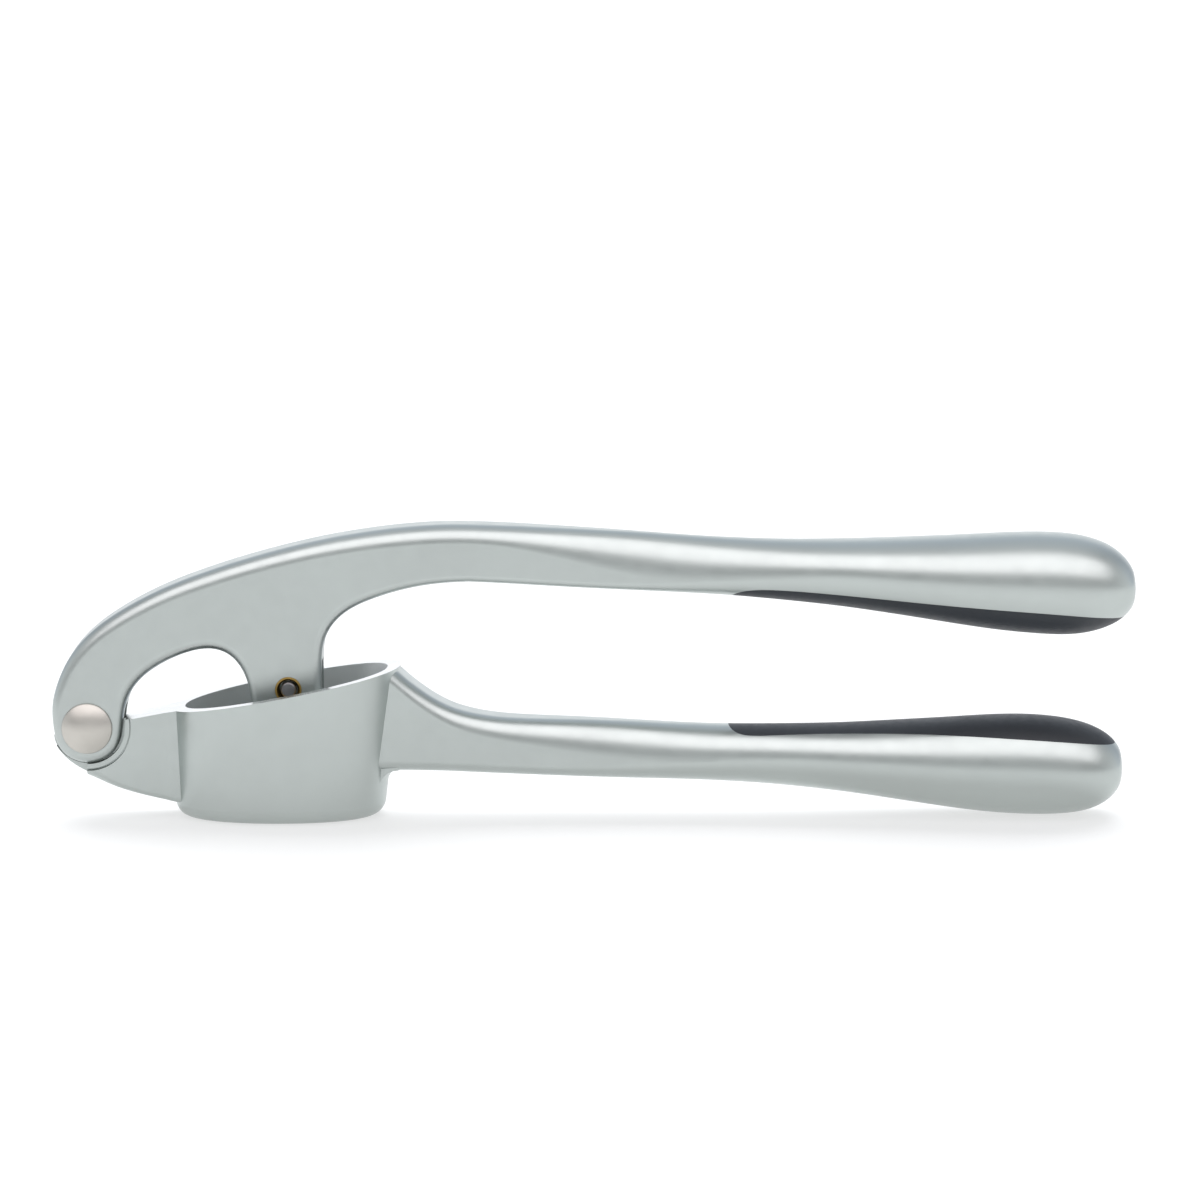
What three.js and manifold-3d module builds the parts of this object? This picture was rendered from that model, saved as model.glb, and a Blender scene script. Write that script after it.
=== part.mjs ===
// Garlic press: two cast handles hinged on a domed rivet, a tapered oval hopper with a drilled floor in
// the lower one, and a plunger that swings on a pin between the two cheeks of the upper one's post.
// Units are millimetres. +X runs from the hinge to the handle ends, +Y away from the viewer, +Z up.
// The origin is on the table, under the middle of the closed press.

import * as THREE from "three";
import { mergeVertices } from "three/addons/utils/BufferGeometryUtils.js";
import Module from "manifold-3d";

const wasm = await Module();
wasm.setup();

// ---------------------------------------------------------------- driving dimensions

const PIVOT = new THREE.Vector2(-88.7, 16); // axis of the hinge, along Y
const KNUCKLE_R = 6.25; // upper handle's eye round the rivet
const ARM_HALF = 5; // half the thickness of the upper arm and its post
const BRACKET_HALF = 4.5; // half the thickness of the hopper's bracket
const TONGUE_R = 5.8; // the tongue's eye
const TONGUE_HALF = 1.8; // half the thickness of the tongue between the fork's cheeks
const FORK_HALF = 2.1; // half the gap between those cheeks
const FORK_R = 7.7; // radius that the gap is cleared to
const RING = { r: 7.6, half: 3.8 }; // shallow ring in the bracket's faces, round the deep relief for the cheeks
const CLEARANCE = 0.05; // between two pieces that bear on each other
const PAST = 1; // how far a cutting tool reaches past the faces that it cuts

const RIVET = {
  shank: 2.45,
  hole: 2.52,
  head: 4.45,
  dome: 1.7,
  spigot: 1.5,
  spigotBore: 1.54,
  spigotLength: 1.1,
};

const HOPPER = {
  x: -55.2, // middle of the oval at the table
  length: 18.3, // half length at the table
  width: 12.1, // half width at the table
  draft: 0.073, // growth of both per millimetre of height
  lean: 0.041, // shift of its middle towards the handle per millimetre of height
  squareness: 2.2, // exponent of the superellipse
  wall: 2.3,
  footRound: 1.8,
  floorTop: 3,
  floorUnder: 0.8, // the drilled floor stands this far above the table
  footLip: 3.3, // width of the rim that it stands on, from the outside of the wall
  blank: 32, // height before the mouth is cut
};
const RIM = { x: -53.9, z: 22.8, slope: 0.193 }; // the mouth's tilted plane

const SIEVE = { holeR: 1, pitch: 3.2, halfLength: 14.3, halfWidth: 8.7, drill: 6 };

const PIN = new THREE.Vector2(-53.4, 22.8); // axis of the plunger's pin, along Y
const PLUNGER = {
  halfLength: 14.4,
  halfWidth: 9.2,
  face: 3.3, // height of its pressing face when the press is closed
  top: 8.5,
  edge: 0.8,
  lugHalf: 2, // half the lug's thickness
  lugR: 4.5,
};
const PLUNGER_PIN = { r: 1.35, half: 4.9, hole: 1.37 };
const BUSH = { inner: 1.65, outer: 2.33, hole: 2.36 };
const POST = { left: -59.6, right: -47.4, foot: 10.3, corner: 1.3 };
const POST_SLOT = { half: 2.3, top: 27.6, below: 9 };

const EDGE = { back: 3.2, eye: 1.4, arch: 1.3, post: 1, neckTop: 3, neckFoot: 2 };
const GAP = 0.3; // between each grip and the metal round it

// How many ribs each handle has, and the x where its flat sides have become fully round.
const UPPER_RIBS = { count: 44, roundFrom: 16 };
const LOWER_RIBS = { count: 52, roundFrom: 18 };

// Stations of each handle, from the hopper end to the tip: x, height of its top, of its underside, half width.
const UPPER_STATIONS = [
  [-22, 51.65, 41.85, 5],
  [-6, 51, 41, 5],
  [8, 49.95, 40.2, 5.15],
  [22, 49.1, 39.4, 5.6],
  [36, 48.8, 38.05, 6.5],
  [50, 49, 36.2, 7.7],
  [64, 49.5, 34, 8.9],
  [76, 49.85, 32.6, 9.6],
  [84, 49.5, 32.35, 9.4],
  [89.2, 48.2, 33.3, 8.2],
  [92.6, 45.9, 35.1, 6.3],
  [94.5, 43.4, 37.6, 3.7],
  [95, 40.6, 40.6, 0],
];
const LOWER_STATIONS = [
  [-38, 28.7, 8.4, 6.3],
  [-34.3, 25.9, 8.25, 5.8],
  [-30.5, 23.1, 8.1, 5.5],
  [-25.5, 20.1, 7.95, 5.3],
  [-20, 18.15, 7.7, 5.2],
  [-13, 17.4, 7.35, 5.2],
  [8, 16.55, 6.6, 5.3],
  [22, 16, 6.1, 5.6],
  [36, 16, 4.9, 6.5],
  [50, 16.4, 3.15, 7.7],
  [64, 17.15, 1.1, 8.9],
  [75, 17.35, 0.2, 9.6],
  [83, 16.75, 0.3, 9.35],
  [88.3, 15.1, 1.4, 8.1],
  [91.2, 12.95, 3.7, 6],
  [92.6, 10.85, 6.2, 3.5],
  [92.9, 8.6, 8.6, 0],
];

// Where each grip meets the metal, from its front tip to the handle's end.
const UPPER_PARTING = [
  [23.4, 38.2],
  [24.7, 39.5],
  [27.6, 40.3],
  [34, 40.2],
  [50, 39],
  [71, 37.4],
  [85, 36.2],
  [96, 35.1],
];
const LOWER_PARTING = [
  [22.7, 17],
  [23.9, 15.6],
  [26.2, 14.7],
  [31, 14.65],
  [50, 15],
  [71, 14.6],
  [85, 13.6],
  [96, 12.3],
];
const KEEL = { from: 34, to: 82, half: 3.4, depth: 2.6, overlap: 1 }; // under each grip, in a pocket
const BELOW_UPPER_GRIP = 20; // a height under the whole upper handle
const ABOVE_LOWER_GRIP = 30; // a height over the whole of the lower handle's grip
const WIDEST = 15; // more than half the width of either handle

// ---------------------------------------------------------------- solids

/** The manifold-3d solid of a closed three.js geometry. */
function solidOf(geometry) {
  const bare = new THREE.BufferGeometry().setAttribute("position", geometry.getAttribute("position"));
  if (geometry.index) bare.setIndex(geometry.index);
  const merged = mergeVertices(bare, 1e-4);
  const corners = [];
  const index = merged.index.array;
  for (let i = 0; i < index.length; i += 3) {
    const [a, b, c] = index.slice(i, i + 3);
    if (a !== b && b !== c && c !== a) corners.push(a, b, c);
  }
  const vertProperties = new Float32Array(merged.attributes.position.array);
  const mesh = new wasm.Mesh({ numProp: 3, vertProperties, triVerts: new Uint32Array(corners) });
  return new wasm.Manifold(mesh);
}

/** The three.js geometry of a manifold-3d solid. */
function geometryOf(solid) {
  const mesh = solid.getMesh();
  const position = new Float32Array(mesh.numVert * 3);
  for (let i = 0; i < mesh.numVert; i++) {
    position.set(mesh.vertProperties.subarray(i * mesh.numProp, i * mesh.numProp + 3), i * 3);
  }
  return new THREE.BufferGeometry()
    .setAttribute("position", new THREE.BufferAttribute(position, 3))
    .setIndex(new THREE.BufferAttribute(mesh.triVerts, 1));
}

/** A geometry made of loose triangles, each given by its three corners. */
function trianglesGeometry(triangles) {
  const position = new Float32Array(triangles.length * 9);
  triangles.flat().forEach((corner, i) => corner.toArray(position, i * 3));
  return new THREE.BufferGeometry().setAttribute("position", new THREE.BufferAttribute(position, 3));
}

/** A side outline in X and Z, made a plate from y = low to y = high. */
function plate(outline, low, high) {
  const shape = new THREE.Shape(outline);
  const geometry = new THREE.ExtrudeGeometry(shape, { depth: high - low, bevelEnabled: false });
  geometry.rotateX(Math.PI / 2); // the shape's second axis turns to +Z and the depth to -Y
  geometry.translate(0, high, 0);
  return solidOf(geometry);
}

/** A round bar along Y through a point of the side view. */
function bar(centre, radius, low, high, sides = 32) {
  const geometry = new THREE.CylinderGeometry(radius, radius, high - low, sides);
  geometry.translate(centre.x, (low + high) / 2, centre.y);
  return solidOf(geometry);
}

/** A body turned round an axis along Y; the profile lists [radius, y] from one end to the other. */
function turned(centre, profile, sides = 40) {
  const geometry = new THREE.LatheGeometry(profile.map(([r, y]) => new THREE.Vector2(r, y)), sides);
  geometry.translate(centre.x, 0, centre.y);
  return solidOf(geometry);
}

/** Horizontal rings of equal length, the lowest first, skinned and closed with flat ends. */
function stack(rings) {
  const triangles = [];
  const n = rings[0].length;
  for (let k = 0; k + 1 < rings.length; k++) {
    for (let i = 0; i < n; i++) {
      const j = (i + 1) % n;
      triangles.push([rings[k][i], rings[k][j], rings[k + 1][j]]);
      triangles.push([rings[k][i], rings[k + 1][j], rings[k + 1][i]]);
    }
  }
  const last = rings[rings.length - 1];
  for (let i = 1; i + 1 < n; i++) {
    triangles.push([rings[0][0], rings[0][i + 1], rings[0][i]]);
    triangles.push([last[0], last[i], last[i + 1]]);
  }
  return solidOf(trianglesGeometry(triangles));
}

/** One ring of the hopper's oval at a height, with its half length and half width. */
function ovalRing(halfLength, halfWidth, z, points = 48) {
  const power = 2 / HOPPER.squareness;
  return Array.from({ length: points }, (_, i) => {
    const angle = (2 * Math.PI * i) / points;
    const along = Math.sign(Math.cos(angle)) * Math.abs(Math.cos(angle)) ** power;
    const across = Math.sign(Math.sin(angle)) * Math.abs(Math.sin(angle)) ** power;
    return new THREE.Vector3(HOPPER.x + HOPPER.lean * z + halfLength * along, halfWidth * across, z);
  });
}

/** A centripetal curve through points given as [x, z] or [x, z, y]. */
function curveThrough(points) {
  const corners = points.map(([x, z, y = 0]) => new THREE.Vector3(x, y, z));
  return new THREE.CatmullRomCurve3(corners, false, "centripetal");
}

/** A smooth curve through side-view points, sampled evenly. */
function smooth(points, samples) {
  const along = curveThrough(points).getSpacedPoints(samples);
  return along.map((p) => new THREE.Vector2(p.x, p.z));
}

/** Side-view points on an arc, from one angle to another in degrees. */
function arc(centre, radius, from, to, samples) {
  return Array.from({ length: samples + 1 }, (_, i) => {
    const angle = THREE.MathUtils.degToRad(from + ((to - from) * i) / samples);
    return new THREE.Vector2(centre.x + radius * Math.cos(angle), centre.y + radius * Math.sin(angle));
  });
}

// A rounded body is made of ribs. Each rib starts on one side face at point `inner`, runs over the
// outline at point `rim`, and ends on the other side face. It is flat for `crown` each side of the
// middle, and rounds off between there and the side faces, which stand at `half`.
const RIB_STEPS = 4;

/** The corners of one rib, from -Y to +Y. */
function ribCorners({ rim, inner, crown, half }) {
  const corners = [];
  for (const side of [-1, 1]) {
    for (let step = 0; step <= RIB_STEPS; step++) {
      const turn = ((side < 0 ? RIB_STEPS - step : step) * Math.PI) / 2 / RIB_STEPS;
      const flat = rim.clone().lerp(inner, 1 - Math.cos(turn));
      corners.push(new THREE.Vector3(flat.x, side * (crown + (half - crown) * Math.sin(turn)), flat.y));
    }
  }
  return corners;
}

/**
 * A closed rounded body. `web` holds the ribs of the plate part, anticlockwise in the side view from
 * its upper right to its lower right; `upper` and `lower` hold the ribs of the handle part, in pairs
 * from there to the tip.
 */
function roundedBody(web, upper, lower) {
  const ribs = [...[...upper].reverse(), ...web, ...lower].map(ribCorners);
  const n = ribs.length;
  const triangles = [];
  for (let i = 0; i < n; i++) {
    const next = ribs[(i + 1) % n];
    for (let k = 0; k + 1 < next.length; k++) {
      triangles.push([ribs[i][k], ribs[i][k + 1], next[k + 1]]);
      triangles.push([ribs[i][k], next[k + 1], next[k]]);
    }
  }
  const facesOf = (ring, flipped) => {
    const contour = ring.map((p) => new THREE.Vector2(p.x, p.z));
    for (const [a, b, c] of THREE.ShapeUtils.triangulateShape(contour, [])) {
      triangles.push(flipped ? [ring[a], ring[c], ring[b]] : [ring[a], ring[b], ring[c]]);
    }
  };
  for (const flipped of [false, true]) {
    const end = flipped ? 2 * RIB_STEPS + 1 : 0;
    const upperRow = [...upper].map((_, i) => ribs[upper.length - 1 - i][end]);
    const lowerRow = [...lower].map((_, i) => ribs[upper.length + web.length + i][end]);
    const webRow = [...web].map((_, i) => ribs[upper.length + i][end]);
    facesOf([upperRow[0], ...webRow, lowerRow[0]], flipped);
    for (let i = 0; i + 1 < upper.length; i++) {
      const quad = [lowerRow[i], lowerRow[i + 1], upperRow[i + 1], upperRow[i]];
      const [a, b, c, d] = flipped ? [...quad].reverse() : quad;
      triangles.push([a, b, c], [a, c, d]);
    }
  }
  return solidOf(trianglesGeometry(triangles));
}

/**
 * The paired ribs of a handle. `topRound` and `footRound` are the edge rounds at its first station; its
 * sections fade from there into a full round.
 */
function handleRibs(stations, { count, roundFrom }, topRound, footRound) {
  const top = curveThrough(stations.map(([x, z]) => [x, z]));
  const foot = curveThrough(stations.map(([x, , z, w]) => [x, z, w]));
  const start = stations[0][0];
  const upper = [];
  const lower = [];
  for (let i = 0; i <= count; i++) {
    const high = top.getPoint(i / count);
    const low = foot.getPoint(i / count);
    const half = i === count ? 0 : Math.max(low.y, 0);
    const x = i === count ? high.x : (high.x + low.x) / 2;
    const fade = THREE.MathUtils.smoothstep(x, start, roundFrom);
    const reach = (high.z - low.z) / 2;
    const rib = (z, round, sign) => {
      const deep = THREE.MathUtils.lerp(Math.min(round, reach), reach, fade);
      return {
        rim: new THREE.Vector2(x, z),
        inner: new THREE.Vector2(x, fade === 1 ? (high.z + low.z) / 2 : z + sign * deep),
        crown: THREE.MathUtils.lerp(Math.max(half - round, 0), 0, fade),
        half,
      };
    };
    upper.push(rib(high.z, topRound, -1));
    lower.push(rib(low.z, footRound, 1));
  }
  return { upper, lower };
}

/** Plate ribs along an outline of points that each carry their own edge round. */
function plateRibs(points, half) {
  return points.map(({ rim, round }, i) => {
    const before = points[Math.max(i - 1, 0)].rim;
    const after = points[Math.min(i + 1, points.length - 1)].rim;
    const along = after.clone().sub(before).normalize();
    const inward = new THREE.Vector2(-along.y, along.x);
    return { rim, inner: rim.clone().addScaledVector(inward, round), crown: half - round, half };
  });
}

/** The points of one stretch of an outline, with an edge round that changes evenly along it. */
function stretch(points, fromRound, toRound = fromRound) {
  return points.map((rim, i) => ({
    rim,
    round: THREE.MathUtils.lerp(fromRound, toRound, i / (points.length - 1)),
  }));
}

/** The space on a grip's side of its parting line, from the line to well outside the handle. */
function gripSpace(parting, outside, lift) {
  const line = smooth(parting, 40).map((p) => new THREE.Vector2(p.x, p.y + lift));
  const first = line[0];
  const last = line[line.length - 1];
  const outline = [...line, new THREE.Vector2(last.x, outside), new THREE.Vector2(first.x, outside)];
  return plate(THREE.ShapeUtils.isClockWise(outline) ? outline.reverse() : outline, -WIDEST, WIDEST);
}

/** The keel under a grip: a bar that follows the parting line, with room added on every side. */
function keel(parting, towardsMetal, room) {
  const line = smooth(parting, 60).filter((p) => p.x > KEEL.from - room && p.x < KEEL.to + room);
  const shallow = line.map((p) => new THREE.Vector2(p.x, p.y - towardsMetal * KEEL.overlap));
  const deep = line.map((p) => new THREE.Vector2(p.x, p.y + towardsMetal * (KEEL.depth + room)));
  const outline = [...shallow, ...deep.reverse()];
  const half = KEEL.half + room;
  return plate(THREE.ShapeUtils.isClockWise(outline) ? outline.reverse() : outline, -half, half);
}

// ---------------------------------------------------------------- the castings

/** The ribs of the upper handle's plate part: the back, the eye, the arch and the post. */
function upperWeb() {
  const back = smooth(
    [
      ...[[-22, 51.65], [-34, 51.1], [-48, 49], [-62, 45.4], [-74.5, 41], [-83, 36.2]],
      ...[[-88.8, 31.9], [-92.6, 26.6], [-94.5, 21.8], [-94.9, 19], [PIVOT.x - KNUCKLE_R, PIVOT.y]],
    ],
    30,
  );
  const eye = arc(PIVOT, KNUCKLE_R, 180, 340, 15);
  const eyeEnd = eye[eye.length - 1];
  const arch = smooth(
    [
      ...[[eyeEnd.x, eyeEnd.y], [-82.5, 16.2], [-82, 19], [-81.2, 22], [-79.6, 24.5], [-77, 26.7]],
      ...[[-73.3, 28.5], [-69.5, 29.8], [-66.5, 29.7], [-64, 28.6], [-62.2, 26.8], [-60.8, 24.2]],
      ...[[-59.9, 21.2], [POST.left, 17]],
    ],
    26,
  );
  const { left, right, foot, corner } = POST;
  const footLeft = arc(new THREE.Vector2(left + corner, foot + corner), corner, 180, 270, 4);
  const footRight = arc(new THREE.Vector2(right - corner, foot + corner), corner, 270, 360, 4);
  const front = smooth(
    [
      ...[[POST.right, 20], [POST.right, 27.5], [-47.1, 31], [-46, 34], [-44.1, 36.4], [-41, 38.25]],
      ...[[-37.5, 39.5], [-34, 40.45], [-30.5, 41.1], [-27, 41.6], [-22, 41.85]],
    ],
    22,
  );
  const outline = [
    ...stretch(back, EDGE.back, EDGE.eye),
    ...stretch(eye, EDGE.eye).slice(1, -1),
    ...stretch(arch, EDGE.arch, EDGE.post),
    ...stretch([...footLeft, ...footRight], EDGE.post),
    ...stretch(front, EDGE.post, EDGE.arch),
  ];
  return plateRibs(outline, ARM_HALF).slice(1, -1);
}

/** Both castings of the upper side: the metal and its grip. */
function upperParts() {
  const { upper, lower } = handleRibs(UPPER_STATIONS, UPPER_RIBS, EDGE.back, EDGE.arch);
  const whole = roundedBody(upperWeb(), upper, lower);
  const metal = whole
    .subtract(bar(PIVOT, FORK_R, -FORK_HALF, FORK_HALF, 48))
    .subtract(bar(PIVOT, RIVET.hole, -ARM_HALF - PAST, ARM_HALF + PAST))
    .subtract(postSlot())
    .subtract(bar(PIN, BUSH.hole, -ARM_HALF - PAST, ARM_HALF + PAST))
    .subtract(gripSpace(UPPER_PARTING, BELOW_UPPER_GRIP, 0))
    .subtract(keel(UPPER_PARTING, 1, GAP));
  const grip = whole
    .intersect(gripSpace(UPPER_PARTING, BELOW_UPPER_GRIP, -GAP))
    .add(keel(UPPER_PARTING, 1, 0).intersect(whole));
  return { metal, grip };
}

/** The slot that parts the post into two cheeks for the plunger's lug. */
function postSlot() {
  const box = new THREE.BoxGeometry(20, 2 * POST_SLOT.half, POST_SLOT.top - POST_SLOT.below);
  box.translate(PIN.x, 0, (POST_SLOT.top + POST_SLOT.below) / 2);
  return solidOf(box);
}

/** Half length and half width of the hopper's outside at a height. */
function hopperSize(z) {
  return [HOPPER.length + HOPPER.draft * z, HOPPER.width + HOPPER.draft * z];
}

/** The hopper's outside, taller than its mouth, with a rounded foot. */
function hopperOutside() {
  const rings = [];
  const steps = 4;
  for (let i = 0; i < steps; i++) {
    const turn = (i * Math.PI) / 2 / steps;
    const [a, b] = hopperSize(HOPPER.footRound);
    const inset = HOPPER.footRound * (1 - Math.sin(turn));
    rings.push(ovalRing(a - inset, b - inset, HOPPER.footRound * (1 - Math.cos(turn))));
  }
  rings.push(ovalRing(...hopperSize(HOPPER.footRound), HOPPER.footRound));
  rings.push(ovalRing(...hopperSize(HOPPER.blank), HOPPER.blank));
  return stack(rings);
}

/** The hollow of the hopper, down to its floor. */
function hopperInside() {
  const ring = (z) => {
    const [a, b] = hopperSize(z);
    return ovalRing(a - HOPPER.wall, b - HOPPER.wall, z);
  };
  return stack([ring(HOPPER.floorTop), ring(HOPPER.blank + PAST)]);
}

/** The shallow space under the drilled floor. */
function hopperUnderside() {
  const [a, b] = hopperSize(0);
  return stack([
    ovalRing(a - HOPPER.footLip, b - HOPPER.footLip, -PAST),
    ovalRing(a - HOPPER.footLip, b - HOPPER.footLip, HOPPER.floorUnder),
  ]);
}

/** Everything above the mouth's tilted plane. */
function aboveRim() {
  const [length, width, height] = [80, 60, 30]; // larger than whatever stands above the mouth
  const middle = RIM.x - 4; // so that it reaches over the bracket too
  const box = new THREE.BoxGeometry(length, width, height);
  box.translate(0, 0, height / 2);
  box.rotateY(-Math.atan(RIM.slope));
  box.translate(middle, 0, RIM.z + (middle - RIM.x) * RIM.slope);
  return solidOf(box);
}

/** The holes in the floor, in staggered rows. */
function sieveHoles() {
  const rowStep = (SIEVE.pitch * Math.sqrt(3)) / 2;
  const rows = Math.floor(SIEVE.halfWidth / rowStep);
  const columns = Math.ceil(SIEVE.halfLength / SIEVE.pitch);
  const holes = [];
  for (let row = -rows; row <= rows; row++) {
    const y = row * rowStep;
    const shift = row % 2 === 0 ? 0 : SIEVE.pitch / 2;
    for (let column = -columns; column <= columns; column++) {
      const x = column * SIEVE.pitch + shift;
      const along = (Math.abs(x) + SIEVE.holeR) / SIEVE.halfLength;
      const across = (Math.abs(y) + SIEVE.holeR) / SIEVE.halfWidth;
      if (along ** 2 + across ** 2 > 1) continue;
      const hole = new THREE.CylinderGeometry(SIEVE.holeR, SIEVE.holeR, SIEVE.drill, 8);
      hole.rotateX(Math.PI / 2);
      hole.translate(HOPPER.x + x, y, 2);
      holes.push(solidOf(hole));
    }
  }
  return wasm.Manifold.union(holes);
}

/** The bracket between the hopper and the hinge, relieved on both faces for the fork's cheeks. */
function bracket() {
  const foot = smooth(
    [
      ...[[-88.9, 7.65], [-87.1, 6.9], [-84.3, 5.64], [-81.5, 4.75]],
      ...[[-77.5, 3.75], [-74.5, 3.14], [-70, 2.4], [-66, 1.9]],
    ],
    12,
  );
  const top = [[-66, 24], [-82.2, 24], [-84.5, 15], [-88.9, 11]].map(([x, z]) => new THREE.Vector2(x, z));
  let solid = plate([...foot, ...top], -BRACKET_HALF, BRACKET_HALF);
  const besideArm = [[-88.7, 15], [-82.55, 14], [-82.15, 16.2], [-81.7, 19], [-81.7, 25], [-88.7, 25]];
  const outside = BRACKET_HALF + PAST;
  for (const [low, high, lowRing, highRing] of [
    [-outside, -TONGUE_HALF, -outside, -RING.half],
    [TONGUE_HALF, outside, RING.half, outside],
  ]) {
    solid = solid
      .subtract(bar(PIVOT, KNUCKLE_R + GAP, low, high, 48))
      .subtract(plate(besideArm.map(([x, z]) => new THREE.Vector2(x, z)), low, high))
      .subtract(bar(PIVOT, RING.r, lowRing, highRing, 48));
  }
  return solid;
}

/** The tongue that the rivet passes through, with the chin that stops the upper handle wide open. */
function tongue() {
  const eye = arc(PIVOT, TONGUE_R, 20, 190, 18);
  const chin = smooth(
    [[-94.8, 13.4], [-94, 12], [-92.7, 10.4], [-91.3, 9.2], [-89.9, 8.2], [-88.5, 7.5], [-84, 5.64]],
    14,
  );
  const root = [[-80, 6], [-80, 17.3], [-82, 17.3]].map(([x, z]) => new THREE.Vector2(x, z));
  return plate([...eye, ...chin, ...root], -TONGUE_HALF, TONGUE_HALF);
}

/** The lower side: the metal with its hopper, and its grip. */
function lowerParts() {
  const { upper, lower } = handleRibs(LOWER_STATIONS, LOWER_RIBS, EDGE.neckTop, EDGE.neckFoot);
  const handle = roundedBody([], upper, lower);
  const whole = hopperOutside()
    .add(handle)
    .add(bracket())
    .subtract(aboveRim())
    .subtract(hopperInside())
    .add(tongue());
  const metal = whole
    .subtract(hopperUnderside())
    .subtract(sieveHoles())
    .subtract(bar(PIVOT, RIVET.hole, -TONGUE_HALF - PAST, TONGUE_HALF + PAST))
    .subtract(gripSpace(LOWER_PARTING, ABOVE_LOWER_GRIP, 0))
    .subtract(keel(LOWER_PARTING, -1, GAP));
  const grip = handle
    .intersect(gripSpace(LOWER_PARTING, ABOVE_LOWER_GRIP, GAP))
    .add(keel(LOWER_PARTING, -1, 0).intersect(handle));
  return { metal, grip };
}

// ---------------------------------------------------------------- rivet, plunger, pin and bushes

/** A dome's profile from its top on the axis to its edge, in [radius, y]. */
function domeProfile(radius, height, base, direction, steps = 8) {
  const ball = (radius ** 2 + height ** 2) / (2 * height);
  const spread = Math.asin(radius / ball);
  return Array.from({ length: steps + 1 }, (_, i) => {
    const angle = (spread * i) / steps;
    return [ball * Math.sin(angle), base + direction * (ball * Math.cos(angle) - ball + height)];
  });
}

/** The rivet: a domed head at the front, a shank through fork and tongue, and a spigot for the cap. */
function hingeRivet() {
  const seat = ARM_HALF + CLEARANCE;
  const end = seat + RIVET.spigotLength;
  return turned(PIVOT, [
    ...domeProfile(RIVET.head, RIVET.dome, -seat, -1),
    [RIVET.shank, -seat],
    [RIVET.shank, seat - 2 * CLEARANCE],
    [RIVET.spigot, seat - 2 * CLEARANCE],
    [RIVET.spigot, end],
    [0, end],
  ]);
}

/** The domed cap pressed on the spigot at the back. */
function hingeCap() {
  const seat = ARM_HALF + CLEARANCE;
  const bore = seat + RIVET.spigotLength + 2 * CLEARANCE;
  return turned(PIVOT, [
    [0, bore],
    [RIVET.spigotBore, bore],
    [RIVET.spigotBore, seat],
    ...domeProfile(RIVET.head, RIVET.dome, seat, 1).reverse(),
  ]);
}

/** The plunger: an oval foot and a lug that hangs from the pin. */
function plunger() {
  const { halfLength, halfWidth, face, top, edge } = PLUNGER;
  const foot = stack([
    ovalRing(halfLength - edge, halfWidth - edge, face, 40),
    ovalRing(halfLength, halfWidth, face + edge, 40),
    ovalRing(halfLength, halfWidth, top - edge, 40),
    ovalRing(halfLength - edge, halfWidth - edge, top, 40),
  ]);
  const outline = [
    ...arc(PIN, PLUNGER.lugR, 0, 180, 16),
    new THREE.Vector2(PIN.x - PLUNGER.lugR - 1, top - 1),
    new THREE.Vector2(PIN.x + PLUNGER.lugR + 1, top - 1),
  ];
  return foot
    .add(plate(outline, -PLUNGER.lugHalf, PLUNGER.lugHalf))
    .subtract(bar(PIN, PLUNGER_PIN.hole, -PLUNGER.lugHalf - PAST, PLUNGER.lugHalf + PAST, 24));
}

/** One bush, lining the pin's hole in a cheek of the post. */
function bush(side) {
  const near = side * (POST_SLOT.half + CLEARANCE);
  const far = side * (ARM_HALF - CLEARANCE);
  const ring = bar(PIN, BUSH.outer, Math.min(near, far), Math.max(near, far));
  return ring.subtract(bar(PIN, BUSH.inner, -ARM_HALF - PAST, ARM_HALF + PAST, 24));
}

// ---------------------------------------------------------------- materials and scene graph

const metal = new THREE.MeshStandardMaterial({ color: 0xb4babb, roughness: 0.36, metalness: 0.9 });
const rubber = new THREE.MeshStandardMaterial({ color: 0x41464c, roughness: 0.6, metalness: 0 });
const nickel = new THREE.MeshStandardMaterial({ color: 0xc2beb6, roughness: 0.3, metalness: 1 });
const steel = new THREE.MeshStandardMaterial({ color: 0x86868a, roughness: 0.35, metalness: 1 });
const brass = new THREE.MeshStandardMaterial({ color: 0xb08a3e, roughness: 0.35, metalness: 1 });

/** A named mesh of a solid. */
function piece(name, solid, material) {
  const mesh = new THREE.Mesh(geometryOf(solid), material);
  mesh.name = name;
  return mesh;
}

const upperSide = upperParts();
const lowerSide = lowerParts();

const upperGroup = new THREE.Group();
upperGroup.add(
  piece("upper_handle", upperSide.metal, metal),
  piece("upper_grip", upperSide.grip, rubber),
  piece("hinge_rivet", hingeRivet(), nickel),
  piece("hinge_cap", hingeCap(), nickel),
  piece("bush_front", bush(-1), brass),
  piece("bush_back", bush(1), brass),
);

const plungerGroup = new THREE.Group();
plungerGroup.add(
  piece("plunger", plunger(), metal),
  piece("plunger_pin", bar(PIN, PLUNGER_PIN.r, -PLUNGER_PIN.half, PLUNGER_PIN.half, 24), steel),
);
upperGroup.add(plungerGroup);

const press = new THREE.Group();
press.add(
  piece("lower_handle", lowerSide.metal, metal),
  piece("lower_grip", lowerSide.grip, rubber),
  upperGroup,
);

export default press;
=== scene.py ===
import logging
import math
from dataclasses import dataclass, field
from enum import Enum, IntEnum
from typing import Callable, Iterable, Sequence

import bmesh
import bpy
from mathutils import Matrix, Vector


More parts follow.
